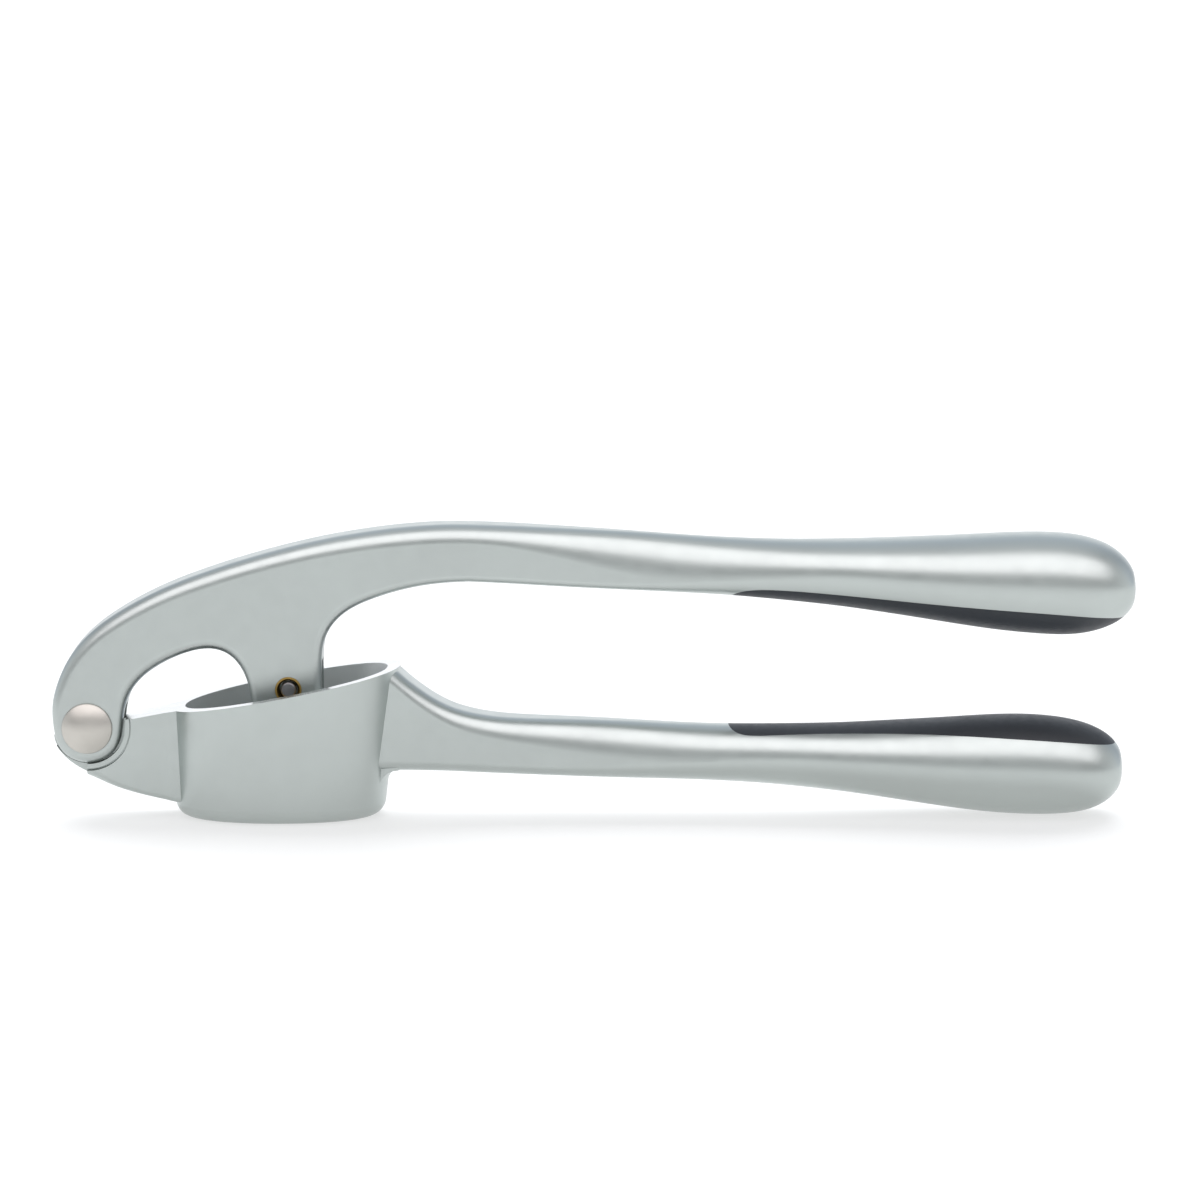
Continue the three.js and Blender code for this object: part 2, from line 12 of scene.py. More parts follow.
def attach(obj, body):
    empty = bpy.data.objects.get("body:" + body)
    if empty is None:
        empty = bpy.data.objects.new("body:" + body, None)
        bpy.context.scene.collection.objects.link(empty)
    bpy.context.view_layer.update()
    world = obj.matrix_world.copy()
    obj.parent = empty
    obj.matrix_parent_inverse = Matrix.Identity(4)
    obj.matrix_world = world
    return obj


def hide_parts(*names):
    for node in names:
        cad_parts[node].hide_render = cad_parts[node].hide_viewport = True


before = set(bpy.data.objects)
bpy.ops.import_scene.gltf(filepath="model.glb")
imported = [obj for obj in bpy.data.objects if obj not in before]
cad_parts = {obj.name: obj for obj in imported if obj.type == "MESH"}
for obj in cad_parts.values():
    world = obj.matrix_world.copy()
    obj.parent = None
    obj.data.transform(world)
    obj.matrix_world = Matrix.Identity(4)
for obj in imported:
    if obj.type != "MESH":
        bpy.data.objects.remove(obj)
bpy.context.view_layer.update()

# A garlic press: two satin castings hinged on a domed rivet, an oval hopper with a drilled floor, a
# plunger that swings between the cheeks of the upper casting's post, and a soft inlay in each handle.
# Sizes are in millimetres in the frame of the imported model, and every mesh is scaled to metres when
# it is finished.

log = logging.getLogger("garlic_press")

MM = 0.001
SMOOTH_ANGLE = math.radians(38)
# Points nearer than this are one point, and shorter edges than the next are dropped.
SAME_POINT = 1e-4
NO_LENGTH = 1e-5
# The width of the slivers that a cut may leave.
CUT_SLIVER = 0.002
# How far from the middle plane a bore reaches, and a space that is wider than the press.
THROUGH = 9
BESIDE = 15

Point = tuple[float, ...]
Row = list[Vector]
Step = tuple[float, Point]


# ---------------------------------------------------------------- curves


def spline(points: Sequence[Point], samples: int) -> list[Point]:
    """Evaluate a clamped cubic B-spline at even steps of its parameter.

    Args:
        points: the control points, all with the same number of coordinates.
        samples: the number of steps.

    Returns:
        samples + 1 points, from the first control point to the last.
    """
    padded = [points[0]] * 2 + list(points) + [points[-1]] * 2
    spans = len(padded) - 3
    axes = range(len(points[0]))
    result = []
    for i in range(samples + 1):
        place = spans * i / samples
        k = min(int(place), spans - 1)
        t = place - k
        weights = (
            (1 - t) ** 3 / 6,
            (3 * t**3 - 6 * t**2 + 4) / 6,
            (-3 * t**3 + 3 * t**2 + 3 * t + 1) / 6,
            t**3 / 6,
        )
        near = padded[k : k + 4]
        result.append(tuple(sum(w * p[a] for w, p in zip(weights, near)) for a in axes))
    return result


def arc(
    centre: Point, radius: float, start: float, end: float, samples: int, *extra: float
) -> list[Point]:
    """List points of a circular arc in the side view.

    Args:
        centre: the arc's centre in X and Z.
        radius: its radius.
        start: the first angle in degrees, anticlockwise from +X.
        end: the last angle.
        samples: the number of steps.
        extra: further coordinates that every point carries.

    Returns:
        samples + 1 points.
    """
    angles = (math.radians(start + (end - start) * i / samples) for i in range(samples + 1))
    x, z = centre
    return [(x + radius * math.cos(a), z + radius * math.sin(a), *extra) for a in angles]


def quarter(steps: int) -> list[float]:
    """Return the angles of a quarter turn at even steps, from 0."""
    return [math.pi / 2 * i / steps for i in range(steps + 1)]


def smoothstep(low: float, high: float, x: float) -> float:
    """Return 0 below low, 1 above high, and a smooth rise between them."""
    t = min(max((x - low) / (high - low), 0.0), 1.0)
    return t * t * (3 - 2 * t)


def mix(a: float, b: float, t: float) -> float:
    """Return the value a fraction t of the way from a to b."""
    return a + (b - a) * t


# ---------------------------------------------------------------- mesh making


def skin(rows: Sequence[Row]) -> bmesh.types.BMesh:
    """Lay a grid over rows of points that all have the same length.

    Args:
        rows: the rows. A ring repeats its first point at its end, and a pole is a row of one
            repeated point.

    Returns:
        The skin, with coinciding points merged and open ends left open.
    """
    bm = bmesh.new()
    along = len(rows) - 1
    across = len(rows[0]) - 1
    bmesh.ops.create_grid(bm, x_segments=along, y_segments=across, size=1)
    for vert in bm.verts:
        i = round((vert.co.x + 1) / 2 * along)
        j = round((vert.co.y + 1) / 2 * across)
        vert.co = rows[i][j]
    bmesh.ops.remove_doubles(bm, verts=bm.verts, dist=SAME_POINT)
    bmesh.ops.dissolve_degenerate(bm, dist=NO_LENGTH, edges=bm.edges)
    return bm


def close(bm: bmesh.types.BMesh) -> bmesh.types.BMesh:
    """Fill the open ends of a skin and turn its faces outwards.

    Args:
        bm: the open skin, which changes.

    Returns:
        The same mesh, closed.
    """
    rims = [edge for edge in bm.edges if edge.is_boundary]
    bmesh.ops.edgeloop_fill(bm, edges=rims)
    bmesh.ops.recalc_face_normals(bm, faces=bm.faces)
    return bm


def plate(outline: Iterable[Point], low: float, high: float) -> bmesh.types.BMesh:
    """Extrude a closed side outline from y = low to y = high.

    Args:
        outline: its points in X and Z.
        low: the near face.
        high: the far face.

    Returns:
        The plate as a closed mesh.
    """
    bm = bmesh.new()
    corners = [bm.verts.new((p[0], low, p[1])) for p in outline]
    for a, b in zip(corners, corners[1:] + corners[:1]):
        bm.edges.new((a, b))
    bmesh.ops.edgeloop_fill(bm, edges=bm.edges)
    made = bmesh.ops.extrude_face_region(bm, geom=bm.faces)
    moved = [item for item in made["geom"] if isinstance(item, bmesh.types.BMVert)]
    bmesh.ops.translate(bm, verts=moved, vec=(0, high - low, 0))
    bmesh.ops.recalc_face_normals(bm, faces=bm.faces)
    return bm


def turned(centre: Point, profile: Sequence[Point], sides: int = 96) -> bmesh.types.BMesh:
    """Spin a profile round an axis along Y.

    Args:
        centre: the axis in X and Z.
        profile: points as radius and y. It starts and ends on the axis, or at its own first point.
        sides: the number of steps of the spin.

    Returns:
        The turned body as a closed mesh.
    """
    bm = bmesh.new()
    chain = [bm.verts.new((centre[0] + r, y, centre[1])) for r, y in profile]
    edges = [bm.edges.new(pair) for pair in zip(chain, chain[1:])]
    bmesh.ops.spin(
        bm,
        geom=chain + edges,
        cent=(centre[0], 0, centre[1]),
        axis=(0, 1, 0),
        angle=math.tau,
        steps=sides,
        use_merge=True,
    )
    bmesh.ops.remove_doubles(bm, verts=bm.verts, dist=SAME_POINT)
    bmesh.ops.recalc_face_normals(bm, faces=bm.faces)
    return bm


def bar(centre: Point, radius: float, low: float, high: float, sides: int = 64) -> bmesh.types.BMesh:
    """Make a round bar along Y for cutting a hole."""
    return turned(centre, [(0, low), (radius, low), (radius, high), (0, high)], sides)


def bore(centre: Point, radius: float) -> bmesh.types.BMesh:
    """Make a round bar that passes right through the press."""
    return bar(centre, radius, -THROUGH, THROUGH)


def scratch(bm: bmesh.types.BMesh, name: str = "scratch") -> bpy.types.Object:
    """Put a mesh in the scene in millimetres, to be cut, joined or finished.

    Args:
        bm: the mesh, used up by this call.
        name: the name of the object and of its mesh.

    Returns:
        The new object.
    """
    mesh = bpy.data.meshes.new(name)
    bm.to_mesh(mesh)
    bm.free()
    obj = bpy.data.objects.new(name, mesh)
    bpy.context.scene.collection.objects.link(obj)
    return obj


def apply_modifiers(obj: bpy.types.Object) -> None:
    """Replace an object's mesh with what its modifiers make of it.

    Args:
        obj: the object, which keeps no modifiers.
    """
    depsgraph = bpy.context.evaluated_depsgraph_get()
    made = bpy.data.meshes.new_from_object(obj.evaluated_get(depsgraph))
    old = obj.data
    obj.modifiers.clear()
    obj.data = made
    bpy.data.meshes.remove(old)


class Join(Enum):
    """The ways that one solid meets another."""

    ADD = "UNION"
    CUT = "DIFFERENCE"
    COMMON = "INTERSECT"


def meet(body: bpy.types.Object, tool: bmesh.types.BMesh, how: Join) -> None:
    """Join a solid to a body, cut it away, or keep what they share.

    Args:
        body: the object that changes.
        tool: the other solid, used up by this call.
        how: what to do.
    """
    other = scratch(tool)
    modifier = body.modifiers.new("meet", "BOOLEAN")
    modifier.operation = how.value
    modifier.solver = "EXACT"
    modifier.object = other
    apply_modifiers(body)
    mesh = other.data
    bpy.data.objects.remove(other)
    bpy.data.meshes.remove(mesh)


def copy_of(obj: bpy.types.Object) -> bpy.types.Object:
    """Copy an object into a scratch object.

    Args:
        obj: the object, which stays as it is.

    Returns:
        The copy, with a mesh of its own.
    """
    bm = bmesh.new()
    bm.from_mesh(obj.data)
    return scratch(bm)


def taken(obj: bpy.types.Object) -> bmesh.types.BMesh:
    """Take the mesh out of a scratch object and remove the object.

    Args:
        obj: the scratch object.

    Returns:
        Its mesh.
    """
    bm = bmesh.new()
    bm.from_mesh(obj.data)
    mesh = obj.data
    bpy.data.objects.remove(obj)
    bpy.data.meshes.remove(mesh)
    return bm


def soften(
    obj: bpy.types.Object,
    width: float,
    chosen: Callable[[bmesh.types.BMEdge], bool],
    segments: int = 3,
) -> None:
    """Round the sharp edges that a test picks out.

    Args:
        obj: the piece, in millimetres.
        width: the size of the round.
        chosen: says whether an edge is one of those to round.
        segments: steps across the round.
    """
    bm = bmesh.new()
    bm.from_mesh(obj.data)
    bmesh.ops.remove_doubles(bm, verts=bm.verts, dist=CUT_SLIVER)
    bmesh.ops.dissolve_degenerate(bm, dist=CUT_SLIVER / 2, edges=bm.edges)
    edges = [
        edge
        for edge in bm.edges
        if len(edge.link_faces) == 2 and edge.calc_face_angle(0) > SMOOTH_ANGLE and chosen(edge)
    ]
    bmesh.ops.bevel(
        bm,
        geom=edges,
        offset=width,
        offset_type="OFFSET",
        segments=segments,
        profile=0.5,
        affect="EDGES",
        clamp_overlap=True,
        material=-1,
    )
    bm.to_mesh(obj.data)
    bm.free()


def finished(obj: bpy.types.Object, name: str, material: bpy.types.Material) -> bpy.types.Object:
    """Scale a piece to metres, smooth its shading and give it its material.

    Args:
        obj: the piece in millimetres.
        name: the name it gets.
        material: its finish.

    Returns:
        The same object.
    """
    obj.name = name
    obj.data.name = name
    obj.data.transform(Matrix.Scale(MM, 4))
    obj.data.materials.clear()
    obj.data.materials.append(material)
    obj.data.shade_smooth()
    obj.data.set_sharp_from_angle(angle=SMOOTH_ANGLE)
    weighted = obj.modifiers.new("even shading", "WEIGHTED_NORMAL")
    weighted.keep_sharp = True
    weighted.weight = 90
    return obj


def crosses(face: bmesh.types.BMFace, line: Sequence[Point]) -> bool:
    """Say whether a face of a finished piece lies along a side-view line, straight from side to side.

    Args:
        face: the face, in metres.
        line: the line in millimetres, with growing x.

    Returns:
        True where the face is part of the cut along the line.
    """
    level_within = 0.05
    tilt_within = 0.02
    place = face.calc_center_median() / MM
    for (x, z), (next_x, next_z) in zip(line, line[1:]):
        if x <= place.x <= next_x:
            level = mix(z, next_z, (place.x - x) / (next_x - x))
            return abs(face.normal.y) < tilt_within and abs(place.z - level) < level_within
    return False


def crease(obj: bpy.types.Object, line: Sequence[Point]) -> None:
    """Keep the shading sharp where a finished piece was parted along a side-view line.

    Args:
        obj: the piece.
        line: the parting line in millimetres, with growing x.
    """
    bm = bmesh.new()
    bm.from_mesh(obj.data)
    for edge in bm.edges:
        if len({crosses(face, line) for face in edge.link_faces}) > 1:
            edge.smooth = False
    bm.to_mesh(obj.data)
    bm.free()


def show(obj: bpy.types.Object, body: str, slot: str, *nodes: str) -> None:
    """Hand a finished piece to the frame and report it.

    Args:
        obj: the piece.
        body: the body that it moves with.
        slot: the name of a material slot; not used.
        nodes: the solids that it stands for.
    """
    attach(obj, body)
    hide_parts(*nodes)
    log.info("%s: %d faces, on %s", obj.name, len(obj.data.polygons), body)


# ---------------------------------------------------------------- rounded bodies made of ribs


@dataclass(frozen=True)
class Rib:
    """One cross-section of a rounded edge, from the near side face over the outline to the far one.

    Attributes:
        rim: where it crosses the outline, in X and Z.
        inner: where its round ends on the side faces, in X and Z.
        crown: half the flat width that it has at the outline.
        half: half the thickness between the side faces.
    """

    rim: Vector
    inner: Vector
    crown: float
    half: float

    def row(self, steps: int) -> Row:
        """List the points of the cross-section.

        Args:
            steps: the number of steps of each of its two rounds.

        Returns:
            Its points from the near side to the far side.
        """
        points = []
        for side in (-1, 1):
            for step in range(steps + 1):
                turn = (steps - step if side < 0 else step) * math.pi / 2 / steps
                flat = self.rim.lerp(self.inner, 1 - math.cos(turn))
                reach = mix(self.crown, self.half, math.sin(turn))
                points.append(Vector((flat.x, side * reach, flat.y)))
        return points


def plate_ribs(outline: Sequence[Point], half: float) -> list[Rib]:
    """Make ribs along an outline.

    Args:
        outline: points as X, Z and the round of the edge there, with the material on the left of
            the path.
        half: half the plate's thickness.

    Returns:
        One rib for each point but the first and the last.
    """
    ribs = []
    for before, here, after in zip(outline, outline[1:], outline[2:]):
        along = (Vector(after[:2]) - Vector(before[:2])).normalized()
        inward = Vector((-along.y, along.x))
        rim = Vector(here[:2])
        ribs.append(Rib(rim, rim + inward * here[2], half - here[2], half))
    return ribs


def crown_of(half: float, edge: float, flatness: float) -> float:
    """Find half the flat width that a handle's rib has at the outline.

    Args:
        half: half the handle's width.
        edge: the round of the edge where the handle is flat-sided.
        flatness: 1 where the handle is flat-sided, 0 where it is fully round.

    Returns:
        Half the flat width, never quite 0.
    """
    least = 0.04 * half
    return mix(least, half - edge, flatness) if half > edge else least


@dataclass(frozen=True)
class HandleShape:
    """A handle that starts as a flat-sided arm and becomes a full round towards its tip.

    Attributes:
        stations: x, the height of the back, the height of the belly and the half width, from the
            arm to the tip.
        back_round: the round of the back's edges at the first station.
        belly_round: the round of the belly's edges there.
        back_fade: the stretch of x over which the back's round grows until the flat side is used up.
        belly_fade: the stretch of x over which the belly's round grows to half the height.
        samples: the number of steps along the handle.
    """

    stations: tuple[Point, ...]
    back_round: float
    belly_round: float
    back_fade: tuple[float, float]
    belly_fade: tuple[float, float]
    samples: int

    def ribs(self) -> tuple[list[Rib], list[Rib]]:
        """Make the ribs of the handle.

        Returns:
            The ribs of the back and of the belly, both from the arm to the tip.
        """
        back = []
        belly = []
        for x, high, low, half in spline(self.stations, self.samples):
            height = max(high - low, 0.0)
            belly_fade = smoothstep(*self.belly_fade, x)
            back_fade = smoothstep(*self.back_fade, x)
            belly_round = mix(min(self.belly_round, height / 2), height / 2, belly_fade)
            back_round = mix(min(self.back_round, height / 2), height - belly_round, back_fade)
            crown = crown_of(half, self.back_round, 1 - back_fade)
            back.append(Rib(Vector((x, high)), Vector((x, high - back_round)), crown, half))
            crown = crown_of(half, self.belly_round, 1 - belly_fade)
            belly.append(Rib(Vector((x, low)), Vector((x, low + belly_round)), crown, half))
        return back, belly


EDGE_STEPS = 10


def cast_arm(web: Sequence[Rib], back: Sequence[Rib], belly: Sequence[Rib]) -> bmesh.types.BMesh:
    """Skin a flat-sided web and the handle that grows out of it.

    Args:
        web: ribs round the web, from the end of the back's first rib to the start of the belly's first.
        back: the handle's ribs along its back.
        belly: the handle's ribs along its belly.

    Returns:
        The closed body.
    """
    ribs = [*reversed(back), *web, *belly]
    bm = skin([rib.row(EDGE_STEPS) for rib in ribs])
    bm.normal_update()
    first = back[0].rim.x
    for side in (-1, 1):
        rims = [e for e in bm.edges if e.is_boundary and e.verts[0].co.y * side > 0]
        handle = [e for e in rims if min(v.co.x for v in e.verts) > first - 1e-3]
        bmesh.ops.bridge_loops(bm, edges=handle)
        rest = [e for e in bm.edges if e.is_boundary and e.verts[0].co.y * side > 0]
        bmesh.ops.edgeloop_fill(bm, edges=rest)
    bmesh.ops.recalc_face_normals(bm, faces=bm.faces)
    return bm


def plain_handle(back: Sequence[Rib], belly: Sequence[Rib]) -> bmesh.types.BMesh:
    """Skin a handle on its own, closed at both ends.

    Args:
        back: its ribs along the back.
        belly: its ribs along the belly.

    Returns:
        The closed body.
    """
    rings = []
    for upper, lower in zip(back, belly):
        ring = upper.row(EDGE_STEPS) + list(reversed(lower.row(EDGE_STEPS)))
        rings.append(ring + ring[:1])
    return close(skin(rings))


# ---------------------------------------------------------------- finishes


NOISE_RANGE = (0.3, 0.7)


class Nodes:
    """A short way to build a material's node tree."""

    def __init__(self, name: str) -> None:
        """Start a material with a Principled shader that reads object coordinates.

        Args:
            name: the material's name.
        """
        self.material = bpy.data.materials.new(name)
        self.material.use_nodes = True
        self.tree = self.material.node_tree
        self.shader = self.tree.nodes["Principled BSDF"]
        self.place = self.add("ShaderNodeTexCoord").outputs["Object"]

    def add(self, kind: str, **values: object) -> bpy.types.ShaderNode:
        """Add a node and set its properties and input values.

        Args:
            kind: the node's type.
            values: a property, or an input socket with its spaces written as underscores.

        Returns:
            The node.
        """
        node = self.tree.nodes.new(kind)
        for key, value in values.items():
            socket = key.replace("_", " ")
            if socket in node.inputs:
                node.inputs[socket].default_value = value
            else:
                setattr(node, key, value)
        return node

    def link(self, source: bpy.types.NodeSocket, target: bpy.types.NodeSocket) -> None:
        """Connect two sockets."""
        self.tree.links.new(source, target)

    def noise(self, scale: float, detail: float) -> bpy.types.NodeSocket:
        """Add a noise on the object's coordinates.

        Args:
            scale: its size in cells per metre.
            detail: its octaves.

        Returns:
            The noise's value.
        """
        noise = self.add("ShaderNodeTexNoise", Scale=scale, Detail=detail, Roughness=0.55)
        self.link(self.place, noise.inputs["Vector"])
        return noise.outputs["Fac"]

    def span(self, source: bpy.types.NodeSocket, low: float, high: float) -> bpy.types.NodeSocket:
        """Map a noise to a range of values.

        Args:
            source: the noise.
            low: the value where the noise is low.
            high: the value where it is high.

        Returns:
            The mapped value.
        """
        least, most = NOISE_RANGE
        node = self.add("ShaderNodeMapRange", From_Min=least, From_Max=most, To_Min=low, To_Max=high)
        self.link(source, node.inputs["Value"])
        return node.outputs["Result"]

    def tint(self, source: bpy.types.NodeSocket, a: Point, b: Point) -> None:
        """Colour the shader between two colours by a noise.

        Args:
            source: the noise.
            a: the colour where the noise is low.
            b: the colour where it is high.
        """
        ramp = self.add("ShaderNodeValToRGB")
        for stop, place, colour in zip(ramp.color_ramp.elements, NOISE_RANGE, (a, b)):
            stop.position = place
            stop.color = (*colour, 1)
        self.link(source, ramp.inputs["Fac"])
        self.link(ramp.outputs["Color"], self.shader.inputs["Base Color"])

    def bump(self, layers: Sequence[tuple[bpy.types.NodeSocket, float, float]]) -> None:
        """Stack bumps on the shader's normal.

        Args:
            layers: for each bump its height source, its strength and its depth in metres.
        """
        normal = None
        for height, strength, depth in layers:
            node = self.add("ShaderNodeBump", Strength=strength, Distance=depth)
            self.link(height, node.inputs["Height"])
            if normal is not None:
                self.link(normal, node.inputs["Normal"])
            normal = node.outputs["Normal"]
        self.link(normal, self.shader.inputs["Normal"])


@dataclass(frozen=True)
class MetalFinish:
    """A metal with a fine texture.

    Attributes:
        name: the material's name.
        pale: its lighter colour.
        dull: its darker colour, in slow patches.
        roughness: its lowest and highest roughness.
        grain: fine texture, in cells per metre.
        relief: depth of the fine texture in metres.
        metal: 1 for bare metal, less for a surface with a dull skin; inside the hopper it is lowered,
            with a paler colour, to brighten the shaded inside as painted light.
        patches: slow changes of colour, in cells per metre.
        clouds: changes of roughness, in cells per metre.
    """

    name: str
    pale: Point
    dull: Point
    roughness: tuple[float, float]
    grain: float
    relief: float
    metal: float = 1.0
    patches: float = 45
    clouds: float = 420

    def material(self) -> bpy.types.Material:
        """Build the node material.

        Returns:
            A new material.
        """
        nodes = Nodes(self.name)
        nodes.shader.inputs["Metallic"].default_value = self.metal
        nodes.tint(nodes.noise(self.patches, 3), self.dull, self.pale)
        cloud = nodes.noise(self.clouds, 4)
        nodes.link(nodes.span(cloud, *self.roughness), nodes.shader.inputs["Roughness"])
        grain = nodes.noise(self.grain, 2)
        nodes.bump([(grain, 0.5, self.relief), (cloud, 0.25, self.relief)])
        return nodes.material


@dataclass(frozen=True)
class SoftFinish:
    """A soft moulded inlay, matte with a fine texture.

    Attributes:
        name: the material's name.
        dark: its darker colour.
        pale: its lighter colour, in slow patches.
        roughness: its lowest and highest roughness.
        grain: moulded texture, in cells per metre.
        relief: depth of the moulded texture in metres.
        patches: slow changes of colour, in cells per metre.
        clouds: changes of roughness, in cells per metre.
    """

    name: str
    dark: Point
    pale: Point
    roughness: tuple[float, float]
    grain: float
    relief: float
    patches: float = 60
    clouds: float = 800

    def material(self) -> bpy.types.Material:
        """Build the node material.

        Returns:
            A new material.
        """
        nodes = Nodes(self.name)
        nodes.shader.inputs["Specular IOR Level"].default_value = 0.5
        nodes.tint(nodes.noise(self.patches, 2), self.dark, self.pale)
        cloud = nodes.noise(self.clouds, 3)
        nodes.link(nodes.span(cloud, *self.roughness), nodes.shader.inputs["Roughness"])
        nodes.bump([(nodes.noise(self.grain, 2), 0.6, self.relief)])
        return nodes.material


CASTING = MetalFinish(
    name="satin casting",
    pale=(0.49, 0.53, 0.515),
    dull=(0.465, 0.50, 0.487),
    roughness=(0.31, 0.38),
    grain=5200,
    relief=1.2e-5,
)
# The hopper's inside: a rough as-cast finish whose colour is lightened and whose metal is halved as
# painted light, so that the shaded inside looks brighter.
AS_CAST_AND_PAINTED_LIGHT = MetalFinish(
    name="rough casting and painted light",
    pale=(0.78, 0.8, 0.795),
    dull=(0.72, 0.74, 0.735),
    roughness=(0.45, 0.55),
    grain=2600,
    relief=2.5e-5,
    metal=0.5,
)
NICKEL = MetalFinish(
    name="satin nickel",
    pale=(0.585, 0.565, 0.525),
    dull=(0.545, 0.525, 0.485),
    roughness=(0.36, 0.44),
    grain=6500,
    relief=1.0e-5,
)
STEEL = MetalFinish(
    name="pin steel",
    pale=(0.30, 0.30, 0.31),
    dull=(0.22, 0.22, 0.23),
    roughness=(0.28, 0.42),
    grain=7000,
    relief=1.5e-5,
)
GROUND = MetalFinish(
    name="ground face",
    pale=(0.78, 0.79, 0.79),
    dull=(0.7, 0.71, 0.71),
    roughness=(0.24, 0.3),
    grain=5000,
    relief=3.0e-6,
)
BRASS = MetalFinish(
    name="bush brass",
    pale=(0.56, 0.38, 0.12),
    dull=(0.30, 0.19, 0.05),
    roughness=(0.28, 0.45),
    grain=7000,
    relief=2.0e-5,
)
INLAY = SoftFinish(
    name="soft inlay",
    dark=(0.0165, 0.0205, 0.0265),
    pale=(0.022, 0.027, 0.034),
    roughness=(0.46, 0.56),
    grain=9000,
    relief=1.2e-5,
)


# ---------------------------------------------------------------- the press


PIVOT = (-88.7, 16.0)
PIN = (-53.4, 22.8)
BORE_FIT = 0.02


@dataclass
class Side:
    """What both sides of the press have: a handle whose inlay starts at a parting line.

    Attributes:
        handle: the shape of the handle.
        parting: control points of the parting line between the metal and the inlay.
        inlay_reach: a height past the handle, on the inlay's side of the line.
    """

    handle: HandleShape
    parting: tuple[Point, ...]
    inlay_reach: float

    def line(self) -> list[Point]:
        """Return the smooth parting line between the metal and the inlay."""
        return spline(self.parting, 70)

    def inlay_space(self) -> bmesh.types.BMesh:
        """Make the space on the inlay's side of the parting line.

        Returns:
            The closed space, wider than the press.
        """
        line = self.line()
        ends = [(line[-1][0], self.inlay_reach), (line[0][0], self.inlay_reach)]
        return plate([*line, *ends], -BESIDE, BESIDE)


@dataclass
class UpperSide(Side):
    """The upper casting, with its fork, arched arm, post and handle, and the inlay on its belly.

    Attributes:
        half: half the thickness of the arm.
        eye: the radius of the arm's end round the pivot.
        fork_half, fork_radius: half the width and the depth of the fork's gap.
        rivet_hole, bush_hole: radii of the bores.
        slot_half, slot_reach, slot_top, slot_foot: the slot between the post's cheeks.
        post_left, post_right, post_foot: the outline of the post.
    """

    half: float = 5.0
    eye: float = 6.25
    fork_half: float = 2.1
    fork_radius: float = 7.7
    rivet_hole: float = 2.52
    bush_hole: float = 2.36
    slot_half: float = 2.3
    slot_reach: float = 10
    slot_top: float = 27.6
    slot_foot: float = 9.0
    post_left: float = -59.6
    post_right: float = -47.6
    post_foot: float = 10.3
    handle: HandleShape = HandleShape(
        stations=(
            (-22, 51.75, 41.85, 5),
            (-15, 51.55, 41.55, 5),
            (-6, 51.05, 41, 5),
            (1, 50.65, 40.65, 5.05),
            (8, 50.2, 40.35, 5.15),
            (15, 49.65, 39.95, 5.35),
            (22, 49.2, 39.5, 5.6),
            (29, 48.9, 38.8, 6),
            (36, 48.75, 38, 6.5),
            (43, 48.85, 37.15, 7.1),
            (50, 49, 36.15, 7.7),
            (57, 49.25, 35.05, 8.3),
            (64, 49.5, 33.9, 8.9),
            (71, 49.9, 32.85, 9.35),
            (78, 50.1, 32.2, 9.6),
            (84, 49.8, 31.95, 9.5),
            (88.8, 48.6, 32.9, 8.7),
            (92.3, 46.6, 34.5, 7.2),
            (94.6, 43.6, 37, 4.9),
            (94.75, 41.6, 39.2, 2.0),
            (94.75, 40.4, 40.4, 0),
        ),
        back_round=3.2,
        belly_round=1.3,
        back_fade=(-22, 20),
        belly_fade=(2, 46),
        samples=150,
    )
    parting: tuple[Point, ...] = (
        (23.4, 38.2),
        (24.0, 39.5),
        (25.8, 40.35),
        (29, 40.7),
        (34, 40.5),
        (40, 40.05),
        (50, 39.15),
        (64, 37.9),
        (78, 36.95),
        (85, 36.3),
        (91, 35.6),
        (97, 35.1),
    )
    inlay_reach: float = 20

    def web(self) -> list[Rib]:
        """Follow the arm's back, the eye, the arch and the post.

        Returns:
            The ribs of the flat-sided part, from the handle's back to its belly.
        """
        turn = 30
        turns = 5
        inside_corners = (2 + math.cos(math.radians(turn))) / 3
        eye = arc(PIVOT, self.eye / inside_corners, 180, 180 + turns * turn, turns, 1.5)
        low = self.post_foot
        outline = (
            (-22, 51.75, 3.2),
            (-27, 51.8, 3.2),
            (-34, 51.3, 3.2),
            (-41, 50.35, 3.1),
            (-48, 49.1, 3.0),
            (-55, 47.4, 2.9),
            (-62, 45.45, 2.8),
            (-69, 43.1, 2.7),
            (-75, 40.8, 2.6),
            (-80.5, 38.0, 2.5),
            (-85.4, 35.0, 2.4),
            (-89.6, 31.5, 2.2),
            (-92.65, 27.2, 2.0),
            (-94.5, 22.4, 1.7),
            (-95.1, 18.9, 1.5),
            *eye[1:],
            (-82.6, 16.6, 1.5),
            (-82.2, 19.9, 1.7),
            (-80.9, 22.9, 1.9),
            (-78.4, 25.6, 1.9),
            (-74.9, 27.8, 1.9),
            (-70.9, 29.5, 1.9),
            (-66.9, 30.2, 1.9),
            (-63.6, 29.1, 1.8),
            (-61.3, 26.3, 1.6),
            (-60.1, 22.6, 1.3),
            (self.post_left, 18.4, 1.1),
            (self.post_left, 14.2, 0.9),
            (self.post_left, low + 1.4, 0.8),
            (self.post_left, low, 0.7),
            (self.post_left + 1.4, low, 0.7),
            (self.post_left + 4.0, low, 0.8),
            (self.post_right - 4.0, low, 0.8),
            (self.post_right - 1.4, low, 0.7),
            (self.post_right, low, 0.7),
            (self.post_right, low + 1.4, 0.8),
            (self.post_right, 14.2, 0.9),
            (self.post_right, 19.0, 1.2),
            (self.post_right, 24.4, 1.5),
            (-47.65, 28.6, 1.7),
            (-47.1, 31.9, 1.8),
            (-45.3, 34.95, 1.8),
            (-42.1, 37.4, 1.8),
            (-37.7, 39.15, 1.7),
            (-32.8, 40.65, 1.5),
            (-27.3, 41.6, 1.4),
            (-22, 41.85, 1.3),
        )
        ribs_per_point = 6
        return plate_ribs(spline(outline, ribs_per_point * len(outline)), self.half)

